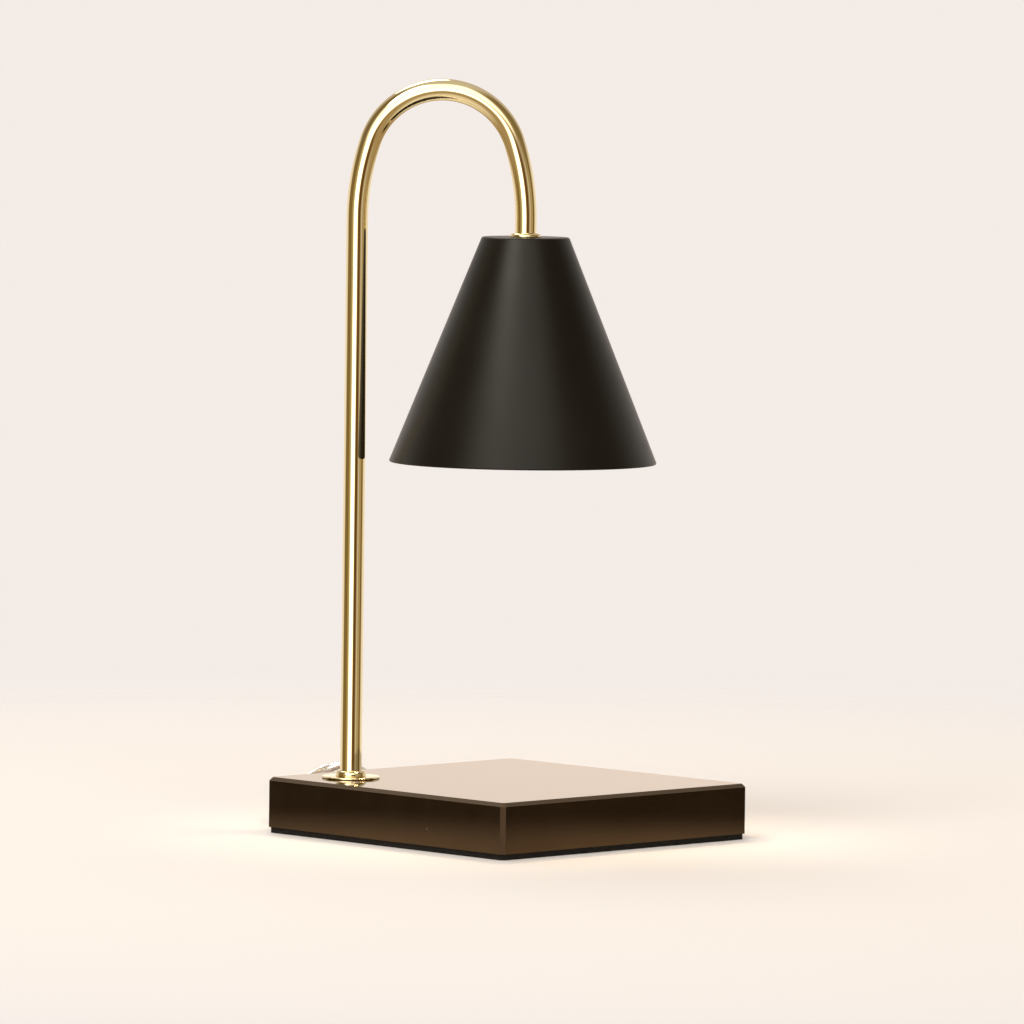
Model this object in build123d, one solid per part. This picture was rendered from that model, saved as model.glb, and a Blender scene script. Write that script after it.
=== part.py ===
from build123d import *

import math
import os

# Candle warmer lamp: a square stone base seen corner-on, a bent brass tube that stands on one corner's diagonal
# and carries a conical shade with a reflector lamp over the middle of the base.
# Millimetres. Origin: centre of the underside. +Z up. The tube and the shade lie in the plane Y = 0,
# the tube's foot on the -X side. Stacks are worked out from the floor up, or from the shade's top down.

# --- Fits and gaps -------------------------------------------------------------------------------
slip_gap = 0.05          # radial gap of a piece that slides over the tube or turns on a shaft
snug_gap = 0.02          # radial gap of a pin or shaft that is fixed in its hole
seat_gap = 0.3           # gap beside a loose fitting piece

# --- Base ----------------------------------------------------------------------------------------
base_side = 150.0
stone_thickness = 22.1
top_chamfer = 1.6
corner_chamfer = 1.7
pad_thickness = 2.5
pad_inset = 0.8
pad_corner_radius = 2.4
recess_radius = 15.0     # pocket under the stone for the nut and washer
recess_depth = 12.0
channel_width = 9.0      # groove under the stone for the cord, from the pocket to the back left side
channel_height = 8.0

# --- Tube ----------------------------------------------------------------------------------------
tube_od = 9.6
tube_wall = 1.0
pole_x = -69.0
shade_x = 5.0
shoulder_radius = 110.0  # gentle bends that lead from the legs into the crown
crown_inset = 3.7        # how much tighter the crown is than half the span
straight_above_shade = 5.5
thread_end = 1.5         # how far the tube's ends stand past their nuts

# --- Flange, collars, washer and nuts ------------------------------------------------------------
flange_radius = 12.8
flange_thickness = 0.9
flange_edge = 0.35
collar_radius = 6.75
collar_height = 2.6
collar_round = 1.2
ferrule_radius = 6.85
ferrule_height = 1.8
ferrule_round = 0.9
washer_radius = 12.0
washer_thickness = 1.5
nut_across_flats = 14.0
nut_thickness = 4.0

# --- Shade ---------------------------------------------------------------------------------------
shade_rim_height = 140.2  # rim above the stone
shade_height = 99.2
shade_top_radius = 19.2
shade_rim_radius = 59.0
shade_wall = 1.0
shade_edge_round = 1.3

# --- Lampholder and its bracket ------------------------------------------------------------------
bracket_thickness = 1.2
bracket_width = 14.0
bracket_drop = 14.0      # top of the plate to the underside of the feet
bracket_foot = 8.5
holder_width = 20.0
holder_height = 18.0
holder_face_plate = 3.0
holder_chamber_radius = 8.2
holder_chamber_height = 3.5
holder_shaft_radius = 4.0
holder_screw_spacing = 22.0
holder_screw_margin = 5.0  # screw to the holder's end, and to the outside of the bracket's leg
holder_screw_radius = 1.5
holder_screw_head_radius = 2.8
holder_screw_head_height = 2.2
holder_screw_sink = 3.0
contact_thickness = 0.6
contact_width = 5.0
contact_reach = 5.2
contact_tail = 7.0

# --- Lamp ----------------------------------------------------------------------------------------
pin_spacing = 10.0
pin_neck_radius = 1.5
pin_head_radius = 2.5
pin_head_height = 2.2
pin_root = 4.0           # length of the pin inside the lamp's base
slot_gap = 0.3           # around the pins in the bayonet slots
unlock_angle = 30.0
bulb_base_radius = 11.5
bulb_base_flats = 17.0
bulb_base_height = 16.0
reflector_neck_radius = 9.5
reflector_bulge_radius = 19.5
reflector_rim_radius = 25.0
reflector_depth = 35.0
reflector_lip = 3.0
reflector_wall = 1.4
lens_thickness = 1.8
capsule_radius = 4.4
capsule_length = 22.0

# --- Leads inside the tube -----------------------------------------------------------------------
lead_radius = 0.9
lead_offset = 1.3        # each lead's distance from the tube's centreline
lead_bend = 4.0

# --- Cord ----------------------------------------------------------------------------------------
cord_diameter = 5.2      # width of the flat twin cord, and the size of its round envelope here
relief_depth = 10.0
relief_collar = 1.5
relief_collar_margin = 2.0
relief_nib = 8.5         # tapered sleeve outside the collar
relief_nib_root = 8.4
relief_nib_tip = 6.2
relief_nib_corner = 2.4
exit_angle = 135.0       # heading of the channel and of the cord where it leaves the base

# Corners of the cord from the base, over its hump behind the base, to the dimmer.
LAMP_CORD_CORNERS = [
    (-102.6, 37.4, 6.8),
    (-102.9, 45.2, 8.0),
    (-101.3, 52.6, 11.6),
    (-96.6, 58.9, 16.8),
    (-88.2, 61.8, 22.0),
    (-78.6, 64.2, 25.1),
    (-69.2, 66.3, 25.5),
    (-58.0, 69.5, 19.5),
    (-47.8, 75.8, 10.4),
    (-37.0, 85.5, 4.2),
    (-26.0, 95.5, 2.6),
    (-14.8, 106.9, 2.7),
    (-6.6, 115.7, 3.3),
    (0.8, 119.0, 4.2),
    (8.9, 119.1, 5.6),
]

# Corners from the dimmer to the outside of the coil.
MAINS_CORD_CORNERS = [
    (79.5, 58.2, 5.4),
    (87.7, 59.2, 4.2),
    (94.7, 63.7, 3.3),
    (99.0, 70.8, 2.7),
    (100.0, 82.8, 2.6),
    (99.0, 96.5, 2.6),
    (97.0, 110.5, 2.6),
    (94.8, 124.0, 2.6),
]

# Corners from the top of the coil to the plug.
PLUG_CORD_CORNERS = [
    (49.5, 167.6, 6.6),
    (35.5, 165.0, 5.4),
]
base_run = 7.4           # straight run of cord where it leaves the base
port_run = 9.0           # straight run of cord where it leaves the dimmer
plug_run = 12.6          # straight run of cord behind the plug

# --- Coil ----------------------------------------------------------------------------------------
coil_x = 63.0
coil_y = 137.0
coil_outer_line = 30.9   # centreline of the outermost turn
coil_inner_line = 22.1
coil_layers = 2
coil_round = 1.6
strand_thickness = 2.6   # thin way of the flat cord, which stands on edge in the coil

# --- Inline dimmer -------------------------------------------------------------------------------
dimmer_x = 44.0
dimmer_y = 88.5
dimmer_heading = 135.0   # local +X points to the cord that comes from the base, +Y to the base
dimmer_length = 50.0
dimmer_width = 22.0
dimmer_height = 14.0
dimmer_split = 6.5
dimmer_wall = 1.6
dimmer_corner = 8.0
dimmer_edge = 2.0
wheel_radius = 9.0
wheel_thickness = 4.0
wheel_y = 4.5
wheel_bottom = 5.4
wheel_side_gap = 0.4
wheel_grooves = 28
wheel_groove_radius = 0.45
wheel_shaft_radius = 2.0
wheel_boss_radius = 3.6
wheel_slot_half = 8.4
board_length = 30.0
board_width = 15.0
board_thickness = 1.2
pot_size = 8.0
pot_height = 2.2
boss_radius = 2.8
boss_x = 18.0
boss_y = 5.6
case_screw_radius = 1.2
case_screw_head_radius = 2.2
case_screw_head_height = 1.4
case_screw_length = 9.5
case_screw_sink = 0.4
sleeve_width = 7.0
sleeve_height = 6.0
sleeve_inside = 3.0
sleeve_outside = 5.0
case_lead_radius = 0.7
case_lead_y = 1.1
case_lead_z = 4.35
case_lead_end = 10.0

# --- Plug ----------------------------------------------------------------------------------------
plug_x = 10.5
plug_y = 157.2
plug_z = 7.0
plug_heading = 197.6     # direction the blades point
plug_width = 24.0
plug_height = 13.4
plug_corner = 5.0
plug_neck_length = 10.0
plug_neck_width = 9.0
plug_neck_height = 7.4
plug_neck_corner = 3.0
plug_block_length = 20.0
blade_spacing = 12.7
blade_thickness = 1.5
blade_length = 17.0
blade_root = 8.0
blade_narrow = 6.35
blade_wide = 7.94

# --- Worked out from the sizes above -------------------------------------------------------------
half_diagonal = base_side / math.sqrt(2)
stone_top = pad_thickness + stone_thickness
recess_ceiling = pad_thickness + recess_depth
channel_top = pad_thickness + channel_height
cord_exit_z = pad_thickness + channel_height / 2
face_distance = (half_diagonal + pole_x) / math.sqrt(2)  # pole to the base's back left side
tube_radius = tube_od / 2
bore_radius = tube_radius + slip_gap
tube_bottom = recess_ceiling - washer_thickness - nut_thickness - thread_end
rim_z = stone_top + shade_rim_height
shade_top = rim_z + shade_height
arch_half_span = (shade_x - pole_x) / 2
crown_radius = arch_half_span - crown_inset
crown_angle = math.degrees(math.asin((shoulder_radius - arch_half_span) / (shoulder_radius - crown_radius)))
shoulder_angle = 90.0 - crown_angle
arch_foot_z = shade_top + ferrule_height + straight_above_shade
shade_under = shade_top - shade_wall
holder_length = holder_screw_spacing + 2 * holder_screw_margin
bracket_span = holder_length
bracket_bottom = shade_under - bracket_thickness
tube_end = bracket_bottom - nut_thickness - thread_end
holder_top = shade_under - bracket_drop
holder_face = holder_top - holder_height
chamber_bottom = holder_face + holder_face_plate
chamber_top = chamber_bottom + holder_chamber_height
bulb_top = holder_face - seat_gap
cord_radius = cord_diameter / 2


def tube_shape(z_low, height, r_outer, r_inner=0.0, x=0.0, y=0.0):
    """A round post or ring that stands at x, y with its foot at z_low."""
    solid = Pos(x, y, z_low) * Cylinder(r_outer, height, align=(Align.CENTER, Align.CENTER, Align.MIN))
    if r_inner > 0:
        solid -= Pos(x, y, z_low) * Cylinder(r_inner, height, align=(Align.CENTER, Align.CENTER, Align.MIN))
    return solid


def block(x_low, x_high, width, z_low, z_high, y=0.0):
    """A box between two X planes and two Z planes, centred on y."""
    centre = Pos((x_low + x_high) / 2, y, z_low)
    return centre * Box(x_high - x_low, width, z_high - z_low, align=(Align.CENTER, Align.CENTER, Align.MIN))


def turned(points):
    """A solid turned about the Z axis from an outline of radius and height points."""
    outline = make_face(Plane.XZ * Polyline(*points, close=True))
    return revolve(outline, Axis.Z)


def ring_edges(shape, radius, z):
    """The round edges of that radius at that height."""
    found = []
    for edge in shape.edges().filter_by(GeomType.CIRCLE):
        if abs(edge.radius - radius) < 1e-4 and abs(edge.center().Z - z) < 1e-4:
            found.append(edge)
    return found


def channel_frame():
    """At the pole's foot, with X along the cord channel towards the outside."""
    return Location((pole_x, 0, 0), (0, 0, exit_angle))


# --- Base ----------------------------------------------------------------------------------------
def make_stone():
    square = Rot(0, 0, 45) * Box(base_side, base_side, stone_thickness, align=(Align.CENTER, Align.CENTER, Align.MIN))
    stone = Pos(0, 0, pad_thickness) * square
    stone = chamfer(stone.edges().filter_by(Axis.Z), corner_chamfer)
    stone = chamfer(stone.faces().sort_by(Axis.Z)[-1].edges(), top_chamfer)
    stone -= tube_shape(pad_thickness, recess_depth, recess_radius, x=pole_x)
    stone -= tube_shape(pad_thickness, stone_thickness, bore_radius + seat_gap, x=pole_x)
    stone -= channel_frame() * block(0, face_distance + corner_chamfer, channel_width, pad_thickness, channel_top)
    return stone


def make_pad():
    side = base_side - 2 * pad_inset
    return Rot(0, 0, 45) * extrude(RectangleRounded(side, side, pad_corner_radius), pad_thickness)


def make_strain_relief():
    width = channel_width - 2 * slip_gap
    plug = block(face_distance - relief_depth, face_distance, width, pad_thickness, channel_top - slip_gap)
    collar_width = channel_width + 2 * relief_collar_margin
    collar_top = channel_top + relief_collar_margin
    collar = block(face_distance, face_distance + relief_collar, collar_width, pad_thickness, collar_top)
    collar = fillet(collar.edges().filter_by(Axis.X).group_by(Axis.Z)[-1], relief_collar_margin)
    nib_start = Plane(origin=(face_distance + relief_collar, 0, cord_exit_z), x_dir=(0, 1, 0), z_dir=(1, 0, 0))
    root = nib_start * RectangleRounded(relief_nib_root, relief_nib_root - 1, relief_nib_corner)
    tip = nib_start.offset(relief_nib) * RectangleRounded(relief_nib_tip, relief_nib_tip, relief_nib_corner)
    return channel_frame() * (plug + collar + loft([root, tip]))


def make_collar(radius, height, rounding, z_low, x):
    collar = tube_shape(z_low, height, radius, bore_radius, x=x)
    return fillet(ring_edges(collar, radius, z_low + height), rounding)


def make_flange():
    flange = tube_shape(stone_top, flange_thickness, flange_radius, bore_radius, x=pole_x)
    return fillet(ring_edges(flange, flange_radius, stone_top + flange_thickness), flange_edge)


def make_nut(x, z_low):
    hexagon = RegularPolygon(nut_across_flats / 2, 6, major_radius=False)
    nut = Pos(x, 0, z_low) * extrude(hexagon, nut_thickness)
    return nut - tube_shape(z_low, nut_thickness, bore_radius, x=x)


# --- Tube and leads ------------------------------------------------------------------------------
def gooseneck_line(inset=0.0, depth=0.0, z_start=0.0, z_end=0.0):
    """A line along the tube from the foot to the shade; inset moves it towards the inside of the bend."""
    start = (pole_x + inset, z_start)
    rise = Line(start, (pole_x + inset, arch_foot_z))
    first = JernArc(rise @ 1, (0, 1), shoulder_radius - inset, -shoulder_angle)
    crown = JernArc(first @ 1, first % 1, crown_radius - inset, -2 * crown_angle)
    last = JernArc(crown @ 1, crown % 1, shoulder_radius - inset, -shoulder_angle)
    drop = Line(last @ 1, (shade_x - inset, z_end))
    edges = [rise.edge(), first.edge(), crown.edge(), last.edge(), drop.edge()]
    return Plane.XZ.offset(-depth) * Wire(edges)


def swept_round(line, radius):
    section = Plane(origin=line @ 0, z_dir=line % 0) * Circle(radius)
    return sweep(section, path=line)


def make_tube():
    line = gooseneck_line(z_start=tube_bottom, z_end=tube_end)
    return swept_round(line, tube_radius) - swept_round(line, tube_radius - tube_wall)


def make_lead(side):
    """One insulated lead: along the channel, up into the tube, over the arch and down to the lampholder."""
    across = side * lead_offset / math.sqrt(2)
    along = Vector(math.cos(math.radians(exit_angle)), math.sin(math.radians(exit_angle)), 0)
    corner = Vector(pole_x + across, across, cord_exit_z)
    start = corner + along * (face_distance - relief_depth)
    bend_end = corner.Z + 2 * lead_bend
    turn = FilletPolyline(start, corner, Vector(corner.X, corner.Y, bend_end), radius=lead_bend)
    rest = gooseneck_line(across, across, bend_end, chamber_top + contact_tail / 2)
    return swept_round(Wire(turn.edges() + rest.edges()), lead_radius)


# --- Shade ---------------------------------------------------------------------------------------
def make_shade():
    lean = math.atan2(shade_rim_radius - shade_top_radius, shade_height)
    skin = shade_wall / math.cos(lean)
    under_radius = shade_top_radius + shade_wall * math.tan(lean) - skin
    shade = turned([
        (bore_radius, shade_top),
        (shade_top_radius, shade_top),
        (shade_rim_radius, rim_z),
        (shade_rim_radius - skin, rim_z),
        (under_radius, shade_under),
        (bore_radius, shade_under),
    ])
    shade = fillet(ring_edges(shade, shade_top_radius, shade_top), shade_edge_round)
    return Pos(shade_x, 0, 0) * shade


def make_bracket():
    half = bracket_span / 2
    plate = block(-half, half, bracket_width, bracket_bottom, shade_under)
    feet_top = holder_top + bracket_thickness
    bracket = plate
    for side in (-1, 1):
        inner = side * (half - bracket_thickness)
        toe = side * (half - bracket_foot)
        leg = block(min(side * half, inner), max(side * half, inner), bracket_width, holder_top, shade_under)
        foot = block(min(side * half, toe), max(side * half, toe), bracket_width, holder_top, feet_top)
        bracket += leg + foot
        screw_x = side * holder_screw_spacing / 2
        bracket -= tube_shape(holder_top, bracket_thickness, holder_screw_radius + snug_gap, x=screw_x)
    bracket -= tube_shape(bracket_bottom, bracket_thickness, bore_radius)
    bracket = chamfer(bracket.edges().filter_by(Axis.Y).group_by(Axis.Z)[-1], bracket_thickness / 2)
    return Pos(shade_x, 0, 0) * bracket


# --- Lampholder ----------------------------------------------------------------------------------
def make_holder():
    holder = Pos(0, 0, holder_face) * extrude(SlotOverall(holder_length, holder_width), holder_height)
    holder -= tube_shape(chamber_bottom, holder_chamber_height, holder_chamber_radius)
    holder -= tube_shape(chamber_top, holder_top - chamber_top, holder_shaft_radius)
    pin_circle = pin_spacing / 2
    for locked in (90, 270):
        turn = CenterArc((0, 0), pin_circle, locked - unlock_angle, unlock_angle)
        slot = SlotArc(turn, 2 * (pin_neck_radius + slot_gap))
        way_in = math.radians(locked - unlock_angle)
        hole = Pos(pin_circle * math.cos(way_in), pin_circle * math.sin(way_in)) * Circle(pin_head_radius + slot_gap)
        holder -= Pos(0, 0, holder_face) * extrude(slot + hole, holder_face_plate)
    for x in (-holder_screw_spacing / 2, holder_screw_spacing / 2):
        holder -= tube_shape(holder_face, holder_height, holder_screw_radius + slip_gap, x=x)
        holder -= tube_shape(holder_face, holder_screw_sink, holder_screw_head_radius + seat_gap, x=x)
    return Pos(shade_x, 0, 0) * holder


def make_contact(side):
    """A spring leaf over one pin's head, with a tail that stands beside its lead."""
    inner = lead_offset / math.sqrt(2) + lead_radius + slip_gap
    leaf = Pos(0, inner + contact_reach / 2, chamber_top - contact_thickness) * Box(
        contact_width, contact_reach, contact_thickness, align=(Align.CENTER, Align.CENTER, Align.MIN)
    )
    tail_width = 2 * lead_radius
    tail = Pos(0, inner + contact_thickness / 2, chamber_top - contact_thickness) * Box(
        tail_width, contact_thickness, contact_tail, align=(Align.CENTER, Align.CENTER, Align.MIN)
    )
    turn = 0 if side > 0 else 180
    return Pos(shade_x, 0, 0) * Rot(0, 0, turn) * (leaf + tail)


def make_screw(x, z_face, radius, head_radius, head_height, length, y=0.0):
    """A pan head screw driven upwards: the head's outer face is at z_face."""
    head = tube_shape(z_face, head_height, head_radius, x=x, y=y)
    head = fillet(ring_edges(head, head_radius, z_face), head_height / 3)
    slot = block(x - head_radius, x + head_radius, head_radius / 3, z_face, z_face + head_height / 2, y=y)
    return head - slot + tube_shape(z_face + head_height, length, radius, x=x, y=y)


def make_holder_screws():
    screws = []
    for x in (-holder_screw_spacing / 2, holder_screw_spacing / 2):
        head_face = holder_face + holder_screw_sink - holder_screw_head_height
        length = holder_top + bracket_thickness - holder_face - holder_screw_sink
        screws.append(make_screw(
            shade_x + x, head_face, holder_screw_radius, holder_screw_head_radius, holder_screw_head_height, length
        ))
    return screws


# --- Lamp ----------------------------------------------------------------------------------------
def make_pin(side):
    head_bottom = chamber_bottom + seat_gap
    neck_bottom = bulb_top - pin_root
    y = side * pin_spacing / 2
    neck = tube_shape(neck_bottom, head_bottom - neck_bottom, pin_neck_radius, x=shade_x, y=y)
    head = tube_shape(head_bottom, pin_head_height, pin_head_radius, x=shade_x, y=y)
    return neck + head


def make_bulb_base():
    base = tube_shape(bulb_top - bulb_base_height, bulb_base_height, bulb_base_radius)
    flats = block(-bulb_base_flats / 2, bulb_base_flats / 2, 2 * bulb_base_radius, bulb_top - bulb_base_height, bulb_top)
    base = base & flats
    for side in (-1, 1):
        y = side * pin_spacing / 2
        base -= tube_shape(bulb_top - pin_root, pin_root, pin_neck_radius + snug_gap, y=y)
    return Pos(shade_x, 0, 0) * base


def reflector_points():
    """Heights of the reflector's top, lip and front."""
    top = bulb_top - bulb_base_height
    front = top - reflector_depth
    return top, front + reflector_lip, front


def make_reflector():
    top, lip, front = reflector_points()
    middle = (top + lip) / 2
    bowl = ThreePointArc(
        (reflector_neck_radius, top), (reflector_bulge_radius, middle), (reflector_rim_radius, lip)
    )
    inner_bowl = ThreePointArc(
        (reflector_rim_radius - reflector_wall, lip),
        (reflector_bulge_radius - reflector_wall, middle + reflector_wall / 2),
        (capsule_radius + seat_gap, top - reflector_wall),
    )
    outline = [
        bowl,
        Line(bowl @ 1, (reflector_rim_radius, front)),
        Line((reflector_rim_radius, front), (reflector_rim_radius - reflector_wall, front)),
        Line((reflector_rim_radius - reflector_wall, front), inner_bowl @ 0),
        inner_bowl,
        Line(inner_bowl @ 1, (capsule_radius + seat_gap, top)),
        Line((capsule_radius + seat_gap, top), bowl @ 0),
    ]
    face = Plane.XZ * make_face([piece.edge() for piece in outline])
    return Pos(shade_x, 0, 0) * revolve(face, Axis.Z)


def make_lens():
    _, _, front = reflector_points()
    radius = reflector_rim_radius - reflector_wall - snug_gap
    return tube_shape(front + reflector_lip - lens_thickness, lens_thickness, radius, x=shade_x)


def make_capsule():
    top, _, _ = reflector_points()
    capsule = tube_shape(top - capsule_length, capsule_length, capsule_radius)
    capsule = fillet(ring_edges(capsule, capsule_radius, top - capsule_length), capsule_radius - snug_gap)
    return Pos(shade_x, 0, 0) * capsule


# --- Cord ----------------------------------------------------------------------------------------
def corner_radii(points):
    """The largest tangent arcs that the runs beside each corner leave room for."""
    radii = []
    for before, at, after in zip(points, points[1:], points[2:]):
        run_in = at - before
        run_out = after - at
        turn = math.radians(run_in.get_angle(run_out))
        radii.append(0.45 * min(run_in.length, run_out.length) / math.tan(turn / 2))
    return radii


def placed(frame, x, y, z):
    """A point given in a frame, in the lamp's own axes."""
    return (frame * Pos(x, y, z)).position


def base_port(out=0.0):
    """A point on the cord's line, beyond the end of the strain relief."""
    return placed(channel_frame(), face_distance + relief_collar + relief_nib + out, 0, cord_exit_z)


def dimmer_port(side, out=0.0):
    """A point on the cord's line, beyond the outer face of the dimmer's sleeve."""
    return placed(dimmer_frame(), side * (dimmer_length / 2 + sleeve_outside + out), 0, dimmer_split)


def plug_port(out=0.0):
    return placed(plug_frame(), -out, 0, 0)


def lamp_cord_route():
    ends = [dimmer_port(1, port_run), dimmer_port(1)]
    return [base_port(), base_port(base_run)] + LAMP_CORD_CORNERS + ends


def mains_cord_route():
    start = [dimmer_port(-1), dimmer_port(-1, port_run)]
    return start + MAINS_CORD_CORNERS + [(coil_x + coil_outer_line, coil_y, cord_radius)]


def plug_cord_route():
    start = (coil_x, coil_y + coil_outer_line, (2 * coil_layers - 1) * cord_radius)
    return [start] + PLUG_CORD_CORNERS + [plug_port(plug_run), plug_port()]


def make_cord(name, points):
    points = [Vector(point) for point in points]
    radii = corner_radii(points)
    line = Wire(FilletPolyline(*points, radius=radii).edges())
    cord = swept_round(line, cord_radius)
    expected = math.pi * cord_radius**2 * line.length
    print(name, "length", round(line.length, 1), "radii", [round(r, 1) for r in radii])
    print(name, "volume", round(cord.volume, 1), "section times length", round(expected, 1))
    return cord


def make_coil():
    """The outer shape of the coil: turns that stand on edge, side by side in two layers."""
    half_turn = strand_thickness / 2 + slip_gap
    height = coil_layers * cord_diameter
    coil = tube_shape(0, height, coil_outer_line + half_turn, coil_inner_line - half_turn)
    coil = fillet(coil.edges().filter_by(GeomType.CIRCLE), coil_round)
    return Pos(coil_x, coil_y, 0) * coil


# --- Inline dimmer -------------------------------------------------------------------------------
def dimmer_frame():
    return Location((dimmer_x, dimmer_y, 0), (0, 0, dimmer_heading))


def case_block(inset, z_low, z_high):
    length = dimmer_length - 2 * inset
    width = dimmer_width - 2 * inset
    return Pos(0, 0, z_low) * extrude(RectangleRounded(length, width, dimmer_corner - inset), z_high - z_low)


def wheel_slot():
    """The window in the case's side that the wheel stands out of."""
    low = wheel_bottom - wheel_side_gap
    high = wheel_bottom + wheel_thickness + wheel_side_gap
    side = dimmer_width / 2
    return block(-wheel_slot_half, wheel_slot_half, 2 * dimmer_wall, low, high, y=side)


def sleeve_windows():
    """The windows in the case's ends that hold the cord sleeves."""
    low = dimmer_split - sleeve_height / 2
    windows = []
    for side in (-1, 1):
        x_in = side * (dimmer_length / 2 - 2 * dimmer_wall)
        x_out = side * (dimmer_length / 2 + dimmer_wall)
        windows.append(block(min(x_in, x_out), max(x_in, x_out), sleeve_width, low, low + sleeve_height))
    return windows


def screw_places():
    return [(-boss_x, boss_y), (boss_x, -boss_y)]


def make_lower_shell():
    shell = case_block(0, 0, dimmer_split) - case_block(dimmer_wall, dimmer_wall, dimmer_split)
    for x, y in screw_places():
        shell += tube_shape(0, dimmer_split, boss_radius, x=x, y=y)
        head_seat = case_screw_sink + case_screw_head_height
        shell -= tube_shape(0, dimmer_split, case_screw_radius + slip_gap, x=x, y=y)
        shell -= tube_shape(0, head_seat, case_screw_head_radius + slip_gap, x=x, y=y)
    shell -= wheel_slot()
    for window in sleeve_windows():
        shell -= window
    return dimmer_frame() * shell


def make_upper_shell():
    roof = dimmer_height - dimmer_wall
    shell = case_block(0, dimmer_split, dimmer_height)
    shell = fillet(shell.faces().sort_by(Axis.Z)[-1].edges(), dimmer_edge)
    shell -= case_block(dimmer_wall, dimmer_split, roof)
    shaft_top = roof - slip_gap
    boss_bottom = wheel_bottom + wheel_thickness + wheel_side_gap
    shell += tube_shape(boss_bottom, roof - boss_bottom, wheel_boss_radius, y=wheel_y)
    shell -= tube_shape(boss_bottom, shaft_top - boss_bottom + slip_gap, wheel_shaft_radius + slip_gap, y=wheel_y)
    pilot_top = case_screw_sink + case_screw_head_height + case_screw_length + seat_gap
    for x, y in screw_places():
        shell += tube_shape(dimmer_split, roof - dimmer_split, boss_radius, x=x, y=y)
        shell -= tube_shape(dimmer_split, pilot_top - dimmer_split, case_screw_radius + snug_gap, x=x, y=y)
    shell -= wheel_slot()
    for window in sleeve_windows():
        shell -= window
    return dimmer_frame() * shell


def make_wheel():
    wheel = tube_shape(wheel_bottom, wheel_thickness, wheel_radius, wheel_shaft_radius + snug_gap)
    for i in range(wheel_grooves):
        angle = 2 * math.pi * i / wheel_grooves
        groove_x = wheel_radius * math.cos(angle)
        groove_y = wheel_radius * math.sin(angle)
        wheel -= tube_shape(wheel_bottom, wheel_thickness, wheel_groove_radius, x=groove_x, y=groove_y)
    return dimmer_frame() * Pos(0, wheel_y, 0) * wheel


def pot_bottom():
    return dimmer_wall + board_thickness


def make_shaft():
    bottom = pot_bottom() + slip_gap
    top = dimmer_height - dimmer_wall - slip_gap
    return dimmer_frame() * tube_shape(bottom, top - bottom, wheel_shaft_radius, y=wheel_y)


def make_pot():
    body = block(-pot_size / 2, pot_size / 2, pot_size, pot_bottom(), pot_bottom() + pot_height, y=wheel_y)
    body -= tube_shape(pot_bottom(), pot_height, wheel_shaft_radius + slip_gap, y=wheel_y)
    return dimmer_frame() * body


def make_board():
    board = block(-board_length / 2, board_length / 2, board_width, dimmer_wall, pot_bottom())
    for x, y in screw_places():
        board -= tube_shape(dimmer_wall, board_thickness, boss_radius + seat_gap, x=x, y=y)
    return dimmer_frame() * board


def make_case_screws():
    screws = []
    for x, y in screw_places():
        screws.append(dimmer_frame() * make_screw(
            x, case_screw_sink, case_screw_radius, case_screw_head_radius, case_screw_head_height, case_screw_length, y=y
        ))
    return screws


def make_sleeves():
    low = dimmer_split - sleeve_height / 2
    sleeves = []
    for side in (-1, 1):
        x_in = side * (dimmer_length / 2 - sleeve_inside)
        x_out = side * (dimmer_length / 2 + sleeve_outside)
        sleeves.append(dimmer_frame() * block(min(x_in, x_out), max(x_in, x_out), sleeve_width, low, low + sleeve_height))
    return sleeves


def make_case_leads():
    leads = []
    for side in (-1, 1):
        for y in (-case_lead_y, case_lead_y):
            length = dimmer_length / 2 - sleeve_inside - case_lead_end
            middle = side * (case_lead_end + length / 2)
            leads.append(dimmer_frame() * Pos(middle, y, case_lead_z) * Rot(0, 90, 0) * Cylinder(case_lead_radius, length))
    return leads


# --- Plug ----------------------------------------------------------------------------------------
def plug_frame():
    return Location((plug_x, plug_y, plug_z), (0, 0, plug_heading))


def blade(width, side, length, start):
    """A flat blade; start is how far along the plug it begins."""
    centre = Pos(start + length / 2, side * blade_spacing / 2, 0)
    return centre * Box(length, blade_thickness, width)


def make_plug_body():
    neck_end = Plane(origin=(0, 0, 0), x_dir=(0, 1, 0), z_dir=(1, 0, 0))
    neck_root = neck_end.offset(plug_neck_length)
    small = neck_end * RectangleRounded(plug_neck_width, plug_neck_height, plug_neck_corner)
    large = neck_root * RectangleRounded(plug_width, plug_height, plug_corner)
    body = loft([small, large]) + extrude(large, plug_block_length)
    start = plug_neck_length + plug_block_length - blade_root
    body -= blade(blade_wide, -1, blade_root, start)
    body -= blade(blade_narrow, 1, blade_root, start)
    return plug_frame() * body


def make_blade(width, side):
    start = plug_neck_length + plug_block_length - blade_root
    tip = blade(width, side, blade_root + blade_length, start)
    tip = chamfer(tip.edges().filter_by(Axis.Y).group_by(Axis.X)[-1], blade_thickness)
    return plug_frame() * tip


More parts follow.
